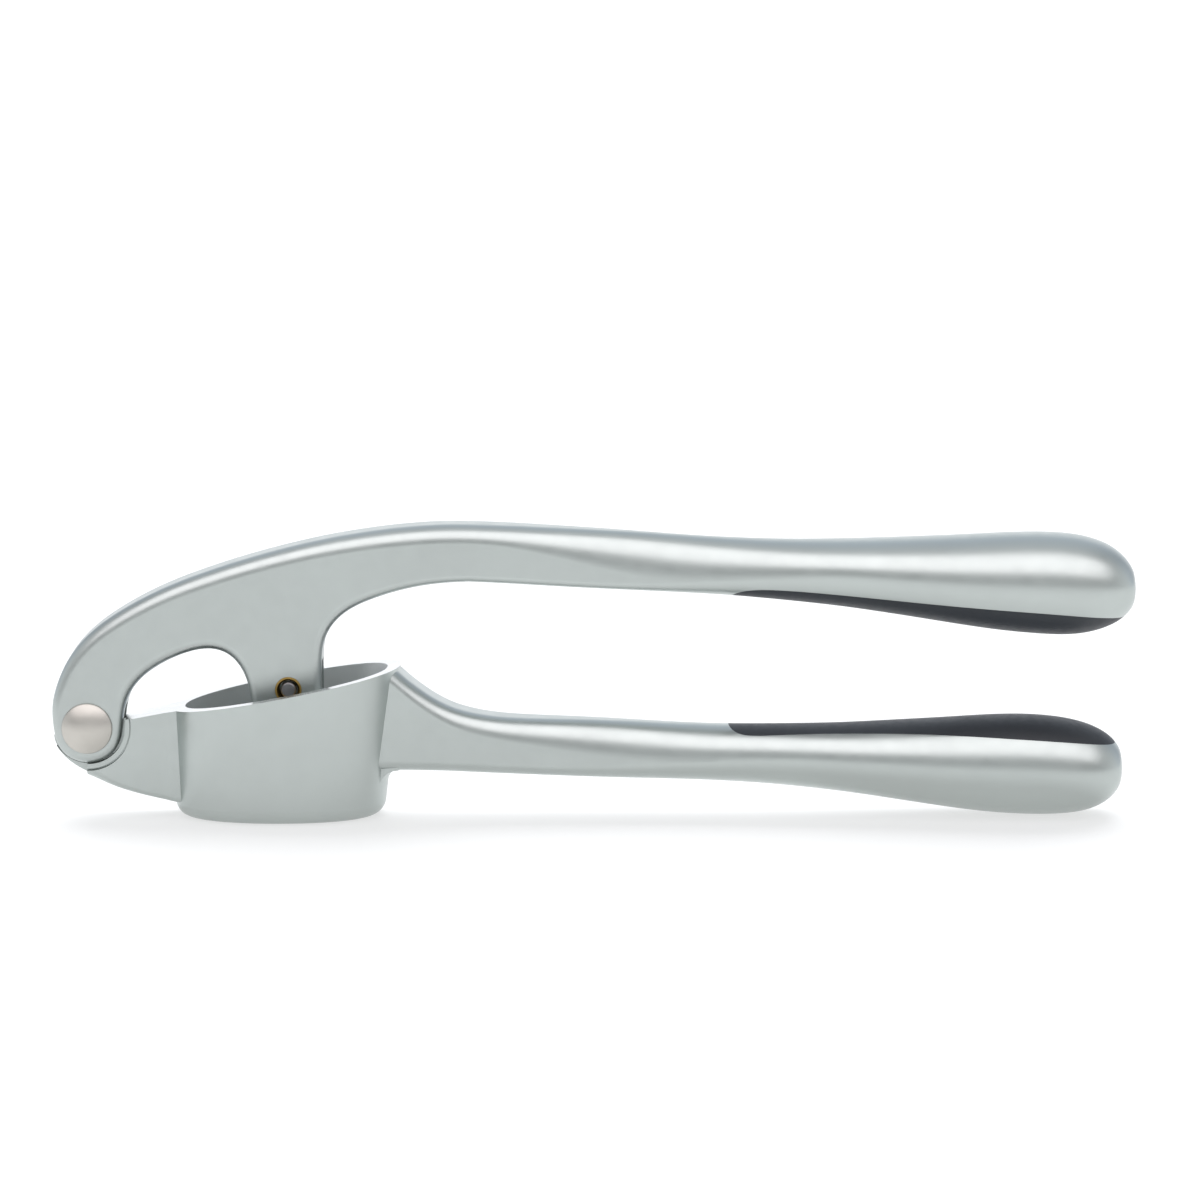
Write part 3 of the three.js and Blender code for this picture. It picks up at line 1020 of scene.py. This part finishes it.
    def whole(self) -> bpy.types.Object:
        """Return the body of the casting before anything is cut from it."""
        back, belly = self.handle.ribs()
        return scratch(cast_arm(self.web(), back, belly))

    def build(self) -> None:
        """Make the casting and its inlay, and dress them."""
        casting = self.whole()
        inlay = copy_of(casting)
        meet(casting, bar(PIVOT, self.fork_radius, -self.fork_half, self.fork_half), Join.CUT)
        meet(casting, bore(PIVOT, self.rivet_hole), Join.CUT)
        left, right = PIN[0] - self.slot_reach, PIN[0] + self.slot_reach
        foot, top = self.slot_foot, self.slot_top
        slot = ((left, foot), (right, foot), (right, top), (left, top))
        meet(casting, plate(slot, -self.slot_half, self.slot_half), Join.CUT)
        meet(casting, bore(PIN, self.bush_hole), Join.CUT)
        meet(casting, self.inlay_space(), Join.CUT)
        crease(finished(casting, "upper_casting", CASTING.material()), self.line())
        show(casting, "upper", "satin_casting", "upper_handle")
        meet(inlay, self.inlay_space(), Join.COMMON)
        crease(finished(inlay, "upper_inlay", INLAY.material()), self.line())
        show(inlay, "upper", "soft_inlay", "upper_grip")


@dataclass
class Oval:
    """The hopper's oval: a superellipse whose size grows with height.

    Attributes:
        x: its middle at the table.
        length: half its length at the table.
        width: half its width at the table.
        draft: how much both grow per millimetre of height.
        lean: how far its middle shifts towards the handle per millimetre of height.
        power: the exponent of the superellipse.
    """

    x: float = -55.2
    length: float = 18.3
    width: float = 12.1
    draft: float = 0.073
    lean: float = 0.041
    power: float = 2.2

    def ring(self, inset: float, z: float, points: int = 96) -> Row:
        """Draw the oval at a height.

        Args:
            inset: how far it is drawn in from the outside.
            z: the height.
            points: the number of its points.

        Returns:
            The ring, ending at its first point.
        """
        ring = []
        for i in range(points):
            angle = math.tau * i / points
            along = math.copysign(abs(math.cos(angle)) ** (2 / self.power), math.cos(angle))
            across = math.copysign(abs(math.sin(angle)) ** (2 / self.power), math.sin(angle))
            half_length = self.length + self.draft * z - inset
            half_width = self.width + self.draft * z - inset
            ring.append(Vector((self.x + self.lean * z + half_length * along, half_width * across, z)))
        return ring + ring[:1]


class Surface(IntEnum):
    """The finishes of the lower casting, in the order of its material slots."""

    SATIN = 0
    ROUGH_AND_PAINTED_LIGHT = 1
    # A rough finish for the hopper's inside, lightened as painted light.
    GROUND = 2


@dataclass
class LowerSide(Side):
    """The lower casting, with its hopper, bracket, tongue and handle, and the inlay on its back.

    Attributes:
        oval: the outside of the hopper.
        wall: the thickness of its wall.
        wall_levels, hollow_levels: heights of the rings of the wall and of the hollow.
        foot_round, foot_lip: the round under the wall, and the width of the foot's rim.
        floor_top, floor_under, floor_corner: the drilled floor, and the round above it.
        fillet, fillet_half, fillet_edge, fillet_box, fillet_overlap: the fillet under the neck.
        neck_foot: the height of the neck's belly at the hopper.
        rim_x, rim_z, rim_slope, rim_round: the tilted plane of the mouth, and its edge's round.
        bracket_half, bracket_top: half the bracket's width, and a height past the mouth.
        flare, flare_from, flare_to: the bracket's widening towards the hopper.
        tongue, tongue_half, tongue_clear: the tongue between the fork's cheeks.
        relief: the radius of the deep relief for the cheeks.
        ring, ring_half, groove, groove_half: the shallow ring and groove round the relief.
        chin_groove, chin_groove_half: the groove round the tongue on the chin.
        rivet_hole: the radius of the rivet's bore.
        hole, pitch, sieve_length, sieve_width: the floor's drills, and the oval that they fill.
        drill_middle, drill: the middle height and the length of a drill.
    """

    oval: Oval = field(default_factory=Oval)
    wall: float = 2.3
    wall_levels: tuple[float, ...] = (6, 11, 16, 21, 26, 32)
    hollow_levels: tuple[float, ...] = (8, 14, 20, 26, 34)
    foot_round: float = 2.5
    floor_top: float = 3.0
    floor_under: float = 0.8
    foot_lip: float = 3.3
    floor_corner: float = 1.2
    fillet: float = 2.6
    neck_foot: float = 8.55
    fillet_half: float = 5.3
    fillet_edge: float = 1.2
    fillet_box: tuple[Point, ...] = ((-45, 4), (-28, 4), (-28, 11), (-45, 11))
    fillet_overlap: float = 0.02
    rim_x: float = -53.9
    rim_z: float = 22.8
    rim_slope: float = 0.193
    rim_round: float = 0.35
    bracket_half: float = 4.5
    bracket_top: float = 26
    flare: float = 0.55
    flare_from: float = -75.6
    flare_to: float = -73.2
    tongue_half: float = 1.8
    tongue_clear: float = 0.01
    tongue: float = 5.8
    relief: float = 6.55
    ring: float = 7.35
    ring_half: float = 3.8
    groove: float = 7.65
    groove_half: float = 3.1
    chin_groove: float = 6.75
    chin_groove_half: float = 1.1
    rivet_hole: float = 2.52
    hole: float = 1.0
    pitch: float = 3.2
    sieve_length: float = 14.3
    sieve_width: float = 8.7
    drill_middle: float = 2
    drill: float = 8
    handle: HandleShape = HandleShape(
        stations=(
            (-39.4, 30.2, 8.5, 6.45),
            (-37.4, 28.6, 8.5, 6.2),
            (-35.8, 27.25, 8.5, 6.0),
            (-34.1, 25.8, 8.45, 5.8),
            (-31.8, 23.75, 8.4, 5.6),
            (-28.6, 21.4, 8.3, 5.4),
            (-25.2, 19.5, 8.2, 5.3),
            (-21.5, 18.4, 8.0, 5.2),
            (-17, 17.65, 7.8, 5.2),
            (-12, 17.35, 7.6, 5.2),
            (-6, 17.2, 7.35, 5.2),
            (1, 16.95, 7.05, 5.25),
            (8, 16.6, 6.8, 5.35),
            (15, 16.2, 6.55, 5.5),
            (22, 15.95, 6.2, 5.7),
            (29, 15.9, 5.7, 6.05),
            (36, 15.95, 5.0, 6.5),
            (43, 16.05, 4.2, 7.1),
            (50, 16.4, 3.2, 7.7),
            (57, 16.75, 2.1, 8.3),
            (64, 17.15, 1.05, 8.9),
            (71, 17.6, 0.25, 9.4),
            (77, 17.6, 0.0, 9.6),
            (82.7, 17.05, 0.04, 9.45),
            (87.3, 15.9, 0.75, 8.75),
            (90.8, 14.05, 2.55, 7.25),
            (92.75, 11.75, 5.1, 5.0),
            (92.85, 9.95, 7.3, 2.1),
            (92.85, 8.6, 8.6, 0),
        ),
        back_round=3.0,
        belly_round=2.0,
        back_fade=(-30, 22),
        belly_fade=(-10, 40),
        samples=170,
    )
    parting: tuple[Point, ...] = (
        (22.7, 17.5),
        (23.5, 16.0),
        (24.7, 15.0),
        (26.6, 14.5),
        (30, 14.55),
        (37, 14.85),
        (47, 15.05),
        (55, 15.1),
        (64, 14.95),
        (75, 14.45),
        (82, 14.0),
        (88.5, 13.3),
        (92, 12.8),
        (96, 12.5),
    )
    inlay_reach: float = 30

    def hopper(self) -> bmesh.types.BMesh:
        """Make the outside of the hopper, taller than its mouth, with a rounded foot.

        Returns:
            The closed body.
        """
        size = self.foot_round
        rings = [self.oval.ring(size * (1 - math.sin(t)), size * (1 - math.cos(t))) for t in quarter(8)]
        rings += [self.oval.ring(0, z) for z in self.wall_levels]
        return close(skin(rings))

    def collar(self) -> bmesh.types.BMesh:
        """Make the fillet between the hopper's wall and the belly of the neck.

        Returns:
            The closed fillet, all the way round the hopper.
        """
        overlap = self.fillet_overlap
        rings = [self.oval.ring(2, self.neck_foot - self.fillet)]
        for t in quarter(8):
            outset = self.fillet * (1 - math.cos(t))
            level = self.neck_foot - self.fillet * (1 - math.sin(t))
            rings.append(self.oval.ring(overlap - outset, level))
        rings.append(self.oval.ring(overlap - self.fillet, self.neck_foot + 3))
        return close(skin(rings))

    def hollow(self) -> bmesh.types.BMesh:
        """Make the hollow of the hopper, with a rounded corner at its floor.

        Returns:
            The closed space.
        """
        corner = self.floor_corner
        rings = []
        for t in quarter(6):
            inset = self.wall + corner * (1 - math.sin(t))
            rings.append(self.oval.ring(inset, self.floor_top + corner * (1 - math.cos(t))))
        rings += [self.oval.ring(self.wall, z) for z in self.hollow_levels]
        return close(skin(rings))

    def underside(self) -> bmesh.types.BMesh:
        """Return the shallow space under the drilled floor."""
        levels = (-1, self.floor_under)
        return close(skin([self.oval.ring(self.foot_lip, z) for z in levels]))

    def sieve(self) -> bmesh.types.BMesh:
        """Make the drills of the floor, in staggered rows.

        Returns:
            The drills, as separate bars in one mesh.
        """
        bm = bmesh.new()
        step = self.pitch * math.sqrt(3) / 2
        rows = int(self.sieve_width / step)
        columns = 6
        for row in range(-rows, rows + 1):
            for column in range(-columns, columns + 1):
                x = (column + (row % 2) / 2) * self.pitch
                y = row * step
                along = (abs(x) + self.hole) / self.sieve_length
                across = (abs(y) + self.hole) / self.sieve_width
                if along**2 + across**2 <= 1:
                    bmesh.ops.create_cone(
                        bm,
                        cap_ends=True,
                        segments=20,
                        radius1=self.hole,
                        radius2=self.hole,
                        depth=self.drill,
                        matrix=Matrix.Translation((self.oval.x + x, y, self.drill_middle)),
                    )
        return bm

    def bracket(self) -> bmesh.types.BMesh:
        """Make the bracket between the hopper and the hinge, flared where it meets the hopper.

        Returns:
            The closed bracket, taller than the hopper's mouth.
        """
        foot = spline(
            (
                (-88.9, 7.45, 2.0),
                (-88.0, 7.1, 2.0),
                (-86.2, 6.3, 1.8),
                (-84.2, 5.45, 1.4),
                (-81.5, 4.6, 1.1),
                (-77.8, 3.65, 1.0),
                (-74.5, 2.95, 1.0),
                (-70, 2.2, 1.0),
                (-66, 1.5, 1.0),
            ),
            40,
        )
        rings = []
        for x, z, edge in foot:
            half = self.bracket_half + self.flare * smoothstep(self.flare_from, self.flare_to, x)
            near = [
                Vector((x, edge * (1 - math.sin(t)) - half, z + edge * (1 - math.cos(t))))
                for t in reversed(quarter(6))
            ]
            far = [Vector((x, -p.y, p.z)) for p in reversed(near)]
            tops = [Vector((x, y, self.bracket_top)) for y in (-half, half)]
            ring = [tops[0], *near, *far, tops[1]]
            rings.append(ring + ring[:1])
        return close(skin(rings))

    def reliefs(self) -> list[bmesh.types.BMesh]:
        """Make the cuts in the bracket's faces.

        Returns:
            For each side the shallow ring and the deep relief for the fork's cheek.
        """
        x, z = PIVOT
        wall, top = -81.9, z + 11
        beside_arm = ((wall - 0.2, z + 0.6), (wall, z + 3), (wall, top), (x - self.relief, top))
        outline = [*arc(PIVOT, self.relief, 180, 360, 64), *beside_arm]
        ring = [(0, self.ring_half), (self.ring, self.ring_half), (self.ring, self.groove_half)]
        ring += [(self.groove, self.groove_half), (self.groove, THROUGH), (0, THROUGH)]
        cuts = []
        for side in (-1, 1):
            cuts.append(turned(PIVOT, [(r, side * y) for r, y in ring]))
            cuts.append(plate(outline, *sorted((side * self.tongue_half, side * (THROUGH + 0.5)))))
        return cuts

    def tongue_plate(self) -> bmesh.types.BMesh:
        """Make the tongue with the chin that stops the upper side when it is wide open.

        Returns:
            The closed body, with a narrow groove round the eye on both faces of the chin.
        """
        eye = arc(PIVOT, self.tongue, 20, 190, 36)
        chin = spline(
            (
                (-94.9, 14.1),
                (-94.7, 12.7),
                (-93.5, 10.95),
                (-91.9, 9.45),
                (-90.2, 8.35),
                (-88.4, 7.5),
                (-86, 6.35),
                (-82, 4.85),
            ),
            24,
        )
        half = self.tongue_half - self.tongue_clear
        tongue = scratch(plate([*eye, *chin, (-78, 6), (-78, 17), (-82, 17)], -half, half))
        for side in (-1, 1):
            low, high = side * self.chin_groove_half, side * (half + 1)
            near, far = self.tongue, self.chin_groove
            groove = [(near, low), (far, low), (far, high), (near, high), (near, low)]
            meet(tongue, turned(PIVOT, groove), Join.CUT)
        return taken(tongue)

    def above_rim(self) -> bmesh.types.BMesh:
        """Make the space above the tilted plane of the mouth.

        Returns:
            The closed space, wider than the press.
        """
        left, right, top = -100, -25, 60
        ends = [(x, self.rim_z + self.rim_slope * (x - self.rim_x)) for x in (left, right)]
        return plate([*ends, (right, top), (left, top)], -2 * BESIDE, 2 * BESIDE)

    def in_hollow(self, place: Vector) -> bool:
        """Say whether a place on the casting faces the inside of the hopper.

        Args:
            place: the place, in millimetres.

        Returns:
            True inside the hopper and on its wall and floor.
        """
        oval = self.oval
        slack = 0.1
        shift = oval.x + oval.lean * place.z
        spread = oval.draft * place.z - self.wall + slack
        along = (place.x - shift) / (oval.length + spread)
        across = place.y / (oval.width + spread)
        inside = abs(along) ** oval.power + abs(across) ** oval.power < 1
        return inside and place.z > self.floor_top - slack

    def on_mouth(self, place: Vector) -> bool:
        """Say whether a place lies in the plane of the mouth."""
        level = self.rim_z + self.rim_slope * (place.x - self.rim_x)
        return abs(place.z - level) < 0.02

    def surface(self, place: Vector, facing: Vector) -> Surface:
        """Choose the finish of a face of the casting.

        Args:
            place: the middle of the face, in millimetres.
            facing: its normal.

        Returns:
            The finish there.
        """
        if self.on_mouth(place) and facing.z > 0.9:
            return Surface.GROUND
        # The hopper's inside gets the rough finish that is lightened as painted light.
        return Surface.ROUGH_AND_PAINTED_LIGHT if self.in_hollow(place) else Surface.SATIN

    def on_collar_end(self, edge: bmesh.types.BMEdge) -> bool:
        """Say whether an edge goes round one of the fillet's flat ends."""
        return all(abs(abs(v.co.y) - self.fillet_half) < 0.01 for v in edge.verts)

    def on_rim(self, edge: bmesh.types.BMEdge) -> bool:
        """Say whether an edge lies in the plane of the mouth."""
        return all(self.on_mouth(vert.co) for vert in edge.verts)

    def build(self) -> None:
        """Make the casting and its inlay, and dress them."""
        back, belly = self.handle.ribs()
        casting = scratch(plain_handle(back, belly))
        inlay = copy_of(casting)
        collar = scratch(self.collar())
        meet(collar, plate(self.fillet_box, -self.fillet_half, self.fillet_half), Join.COMMON)
        soften(collar, self.fillet_edge, self.on_collar_end, 4)
        bracket = scratch(self.bracket())
        for cut in self.reliefs():
            meet(bracket, cut, Join.CUT)
        meet(bracket, self.tongue_plate(), Join.ADD)
        meet(casting, self.hopper(), Join.ADD)
        meet(casting, taken(collar), Join.ADD)
        meet(casting, taken(bracket), Join.ADD)
        meet(casting, self.above_rim(), Join.CUT)
        meet(casting, self.hollow(), Join.CUT)
        soften(casting, self.rim_round, self.on_rim)
        meet(casting, self.underside(), Join.CUT)
        meet(casting, self.sieve(), Join.CUT)
        meet(casting, bore(PIVOT, self.rivet_hole), Join.CUT)
        meet(casting, self.inlay_space(), Join.CUT)
        finished(casting, "lower_casting", CASTING.material())
        # The second slot, for the hopper's inside, is a rough finish lightened as painted light.
        casting.data.materials.append(AS_CAST_AND_PAINTED_LIGHT.material())
        casting.data.materials.append(GROUND.material())
        for face in casting.data.polygons:
            face.material_index = self.surface(face.center / MM, face.normal)
        crease(casting, self.line())
        show(casting, "lower", "satin_casting", "lower_handle")
        meet(inlay, self.inlay_space(), Join.COMMON)
        crease(finished(inlay, "lower_inlay", INLAY.material()), self.line())
        show(inlay, "lower", "soft_inlay", "lower_grip")


@dataclass
class Hinge:
    """The rivet through fork and tongue, with its domed head and its pressed-on cap.

    Attributes:
        seat: where the heads sit on the arm, from the middle plane.
        head, edge, dome, dome_inset: radius, edge, height and shoulder of a domed head.
        shank, spigot, spigot_end: radii of the shank and of its end in the cap, and that end.
        cap_fit: the clearance in the cap.
    """

    seat: float = 5.05
    head: float = 4.45
    edge: float = 0.45
    dome: float = 1.7
    shank: float = 2.45
    spigot: float = 1.5
    spigot_end: float = 6.15
    dome_inset: float = 0.25
    cap_fit: float = 0.04

    def cup(self, side: int) -> list[Point]:
        """Draw half of a domed head.

        Args:
            side: -1 for the near head, 1 for the far one.

        Returns:
            Its profile from the middle of its dome to its edge on the seat, as radius and y.
        """
        height = self.dome - self.edge
        radius = self.head - self.dome_inset
        ball = (radius**2 + height**2) / (2 * height)
        spread = math.asin(radius / ball)
        shoulder = self.seat + self.edge
        steps = 14
        profile = []
        for i in range(steps + 1):
            angle = spread * i / steps
            profile.append((ball * math.sin(angle), shoulder + ball * math.cos(angle) - ball + height))
        profile += [(self.head - 0.08, shoulder - 0.1), (self.head, shoulder - 0.28)]
        profile.append((self.head, self.seat))
        return [(r, side * y) for r, y in profile]

    def build(self) -> None:
        """Make the rivet and its cap, and dress them."""
        nickel = NICKEL.material()
        rivet = turned(
            PIVOT,
            [
                *self.cup(-1),
                (self.shank, -self.seat),
                (self.shank, self.seat - 0.1),
                (self.spigot, self.seat - 0.1),
                (self.spigot, self.spigot_end),
                (0, self.spigot_end),
            ],
        )
        show(finished(scratch(rivet), "rivet", nickel), "upper", "nickel", "hinge_rivet")
        hole = self.spigot + self.cap_fit
        end = self.spigot_end + 0.1
        cap = turned(PIVOT, [*self.cup(1), (hole, self.seat), (hole, end), (0, end)])
        show(finished(scratch(cap), "rivet_cap", nickel), "upper", "nickel", "hinge_cap")


@dataclass
class Plunger:
    """The plunger with its lug, the steel pin that it swings on, and the two brass bushes.

    Attributes:
        oval: the outside of the hopper, whose middle and power the foot shares.
        half_length, half_width, face, top, edge: the oval foot.
        lug_half, lug: half the width and the radius of the lug.
        pin, pin_half, pin_bevel: the steel pin.
        bush_inner, bush_outer, bush_near, bush_far: the bushes.
        countersink, countersink_depth: the bevel of a bush's bore.
        sides: the number of sides of the small round pieces.
    """

    oval: Oval = field(default_factory=Oval)
    half_length: float = 14.4
    half_width: float = 9.2
    face: float = 3.3
    top: float = 8.5
    edge: float = 0.8
    lug_half: float = 2.0
    lug: float = 4.5
    pin: float = 1.35
    pin_half: float = 4.9
    bush_inner: float = 1.65
    bush_outer: float = 2.33
    bush_near: float = 2.35
    bush_far: float = 4.95
    pin_bevel: float = 0.25
    countersink: float = 0.36
    countersink_depth: float = 0.7
    sides: int = 48

    def foot(self) -> bmesh.types.BMesh:
        """Make the oval foot with rounded edges.

        Returns:
            The closed foot.
        """
        hopper = self.oval
        oval = Oval(hopper.x, self.half_length, self.half_width, 0, hopper.lean, hopper.power)
        low = []
        high = []
        for t in quarter(6):
            inset = self.edge * (1 - math.sin(t))
            rise = self.edge * (1 - math.cos(t))
            low.append(oval.ring(inset, self.face + rise))
            high.append(oval.ring(inset, self.top - rise))
        return close(skin([*low, *reversed(high)]))

    def build(self) -> None:
        """Make the plunger, its pin and the bushes, and dress them."""
        body = scratch(self.foot())
        foot = [(PIN[0] + side * (self.lug + 1), self.top - 1) for side in (-1, 1)]
        outline = [*arc(PIN, self.lug, 0, 180, 32), *foot]
        meet(body, plate(outline, -self.lug_half, self.lug_half), Join.ADD)
        meet(body, bore(PIN, self.pin + BORE_FIT), Join.CUT)
        show(finished(body, "plunger_body", CASTING.material()), "plunger", "satin_casting", "plunger")
        end = self.pin_half
        profile = [(0, -end), (self.pin - self.pin_bevel, -end), (self.pin, self.pin_bevel - end)]
        pin = turned(PIN, [*profile, *[(r, -y) for r, y in reversed(profile)]], self.sides)
        show(finished(scratch(pin), "pin", STEEL.material()), "plunger", "pin_steel", "plunger_pin")
        brass = BRASS.material()
        for name, node, side in (("near_bush", "bush_front", -1), ("far_bush", "bush_back", 1)):
            near = side * self.bush_near
            far = side * self.bush_far
            sink = side * self.countersink_depth
            ring = [
                (self.bush_inner, near),
                (self.bush_outer, near),
                (self.bush_outer, far),
                (self.bush_inner + self.countersink, far),
                (self.bush_inner, far - sink),
                (self.bush_inner, near),
            ]
            bush = scratch(turned(PIN, ring, self.sides))
            show(finished(bush, name, brass), "upper", "bush_brass", node)


# ---------------------------------------------------------------- the studio


@dataclass(frozen=True)
class SoftBox:
    """A large soft light over the press that its metal mirrors.

    Attributes:
        place: where it stands, in metres.
        size: its width and height in metres.
        glow: its radiance, where 1 is the white of the floor.
        tint: its colour.
    """

    place: Point
    size: tuple[float, float]
    glow: float
    tint: Point

    def build(self, target: Vector) -> None:
        """Put the light in the scene.

        Args:
            target: the place that it is turned to, in metres.
        """
        light = bpy.data.lights.new("overhead", "AREA")
        light.shape = "RECTANGLE"
        light.size, light.size_y = self.size
        light.energy = self.glow * math.pi * self.size[0] * self.size[1]
        light.color = self.tint
        obj = bpy.data.objects.new("overhead", light)
        obj.location = self.place
        obj.visible_diffuse = False
        obj.rotation_euler = (target - obj.location).to_track_quat("-Z", "Y").to_euler()
        bpy.context.scene.collection.objects.link(obj)


@dataclass(frozen=True)
class SkyLight:
    """A broad light from behind that makes the floor white and throws a faint shadow forwards.

    Attributes:
        elevation: its height over the horizon in degrees.
        spread: how wide it looks, in degrees.
        glow: what it adds to the radiance of a white floor.
    """

    elevation: float
    spread: float
    glow: float

    def build(self) -> None:
        """Put the light in the scene."""
        light = bpy.data.lights.new("sky", "SUN")
        light.angle = math.radians(self.spread)
        light.energy = self.glow * math.pi / math.sin(math.radians(self.elevation))
        obj = bpy.data.objects.new("sky", light)
        obj.visible_glossy = False
        obj.rotation_euler = (math.radians(self.elevation - 90), 0, 0)
        bpy.context.scene.collection.objects.link(obj)


@dataclass
class Studio:
    """A pale floor, soft light and the camera.

    Attributes:
        target, distance, elevation, frame_width: the camera's view, in metres and degrees.
        floor, floor_grey, floor_glow: the floor's half size, colour and own light.
        aim: the place that the overhead light is turned to.
        overhead, sky: the two lights.
        sides: how bright the room is towards its two ends.
        room: the room's colours from the front to the back.
    """

    target: Point = (0.0011, 0.0, 0.0380)
    distance: float = 0.87
    elevation: float = 9.0
    frame_width: float = 0.2104
    floor: float = 40.0
    floor_grey: float = 0.42
    floor_glow: float = 0.59
    aim: Point = (0, 0, 0.02)
    overhead: SoftBox = SoftBox((0.0, -0.44, 0.66), (1.6, 0.7), 1.52, (1.0, 0.935, 0.96))
    sky: SkyLight = SkyLight(54, 50, 0.7)
    sides: tuple[Step, ...] = (
        (0.3, (1, 1, 1)),
        (0.62, (0.68, 0.68, 0.68)),
        (0.98, (1.25, 1.25, 1.25)),
    )
    room: tuple[Step, ...] = (
        (-1.0, (0.495, 0.505, 0.515)),
        (0.0, (0.72, 0.735, 0.75)),
        (0.68, (0.68, 0.75, 0.86)),
        (0.97, (1.3, 1.32, 1.35)),
    )

    def camera(self) -> None:
        """Place the camera level with the press's side, a little above it."""
        data = bpy.data.cameras.new("camera")
        data.sensor_width = 36.0
        data.lens = data.sensor_width * self.distance / self.frame_width
        data.clip_end = 50.0
        obj = bpy.data.objects.new("camera", data)
        tilt = math.radians(self.elevation)
        target = Vector(self.target)
        obj.location = target + Vector((0, -math.cos(tilt), math.sin(tilt))) * self.distance
        obj.rotation_euler = (target - obj.location).to_track_quat("-Z", "Y").to_euler()
        bpy.context.scene.collection.objects.link(obj)
        bpy.context.scene.camera = obj

    def ground(self) -> None:
        """Lay the floor."""
        bm = bmesh.new()
        bmesh.ops.create_grid(bm, x_segments=1, y_segments=1, size=self.floor)
        floor = scratch(bm, "floor")
        nodes = Nodes("pale floor")
        nodes.shader.inputs["Base Color"].default_value = (*[self.floor_grey] * 3, 1)
        nodes.shader.inputs["Emission Color"].default_value = (1.0, 1.0, 1.0, 1)
        nodes.shader.inputs["Emission Strength"].default_value = self.floor_glow
        nodes.shader.inputs["Roughness"].default_value = 0.7
        nodes.shader.inputs["Specular IOR Level"].default_value = 0.2
        floor.data.materials.append(nodes.material)

    def light(self) -> None:
        """Set the even light of the room and the soft boxes."""
        world = bpy.data.worlds.new("room")
        world.use_nodes = True
        nodes = world.node_tree.nodes
        links = world.node_tree.links
        parts = nodes.new("ShaderNodeSeparateXYZ")
        links.new(nodes.new("ShaderNodeTexCoord").outputs["Generated"], parts.inputs["Vector"])

        def ramp(
            source: bpy.types.NodeSocket, low: float, steps: Sequence[Step]
        ) -> bpy.types.NodeSocket:
            """Colour a value between low and 1, at half the brightness so that a step may pass 1.

            Args:
                source: the value.
                low: its lowest value.
                steps: places between low and 1 with their colours.

            Returns:
                The colour.
            """
            scale = nodes.new("ShaderNodeMapRange")
            scale.inputs["From Min"].default_value = low
            links.new(source, scale.inputs["Value"])
            colours = nodes.new("ShaderNodeValToRGB")
            stops = colours.color_ramp.elements
            while len(stops) < len(steps):
                stops.new(0.5)
            for stop, (place, colour) in zip(stops, steps):
                stop.position = (place - low) / (1 - low)
                stop.color = (*(value / 2 for value in colour), 1)
            links.new(scale.outputs["Result"], colours.inputs["Fac"])
            return colours.outputs["Color"]

        aside = nodes.new("ShaderNodeMath")
        aside.operation = "ABSOLUTE"
        links.new(parts.outputs["X"], aside.inputs[0])
        both = nodes.new("ShaderNodeMix")
        both.data_type = "RGBA"
        both.blend_type = "MULTIPLY"
        both.inputs[0].default_value = 1.0
        links.new(ramp(parts.outputs["Y"], -1, self.room), both.inputs["A"])
        links.new(ramp(aside.outputs["Value"], 0, self.sides), both.inputs["B"])
        links.new(both.outputs["Result"], nodes["Background"].inputs["Color"])
        # Each of the two ramps is at half its brightness.
        nodes["Background"].inputs["Strength"].default_value = 4.0
        bpy.context.scene.world = world
        self.overhead.build(Vector(self.aim))
        self.sky.build()

    def build(self) -> None:
        """Set up the whole studio."""
        self.camera()
        self.ground()
        self.light()
        view = bpy.context.scene.view_settings
        view.view_transform = "Standard"
        view.look = "None"


def main() -> None:
    """Build the studio and the press, piece by piece."""
    logging.basicConfig(level=logging.INFO, format="%(name)s: %(message)s")
    Studio().build()
    LowerSide().build()
    UpperSide().build()
    Hinge().build()
    Plunger().build()


if __name__ == "__main__":
    main()
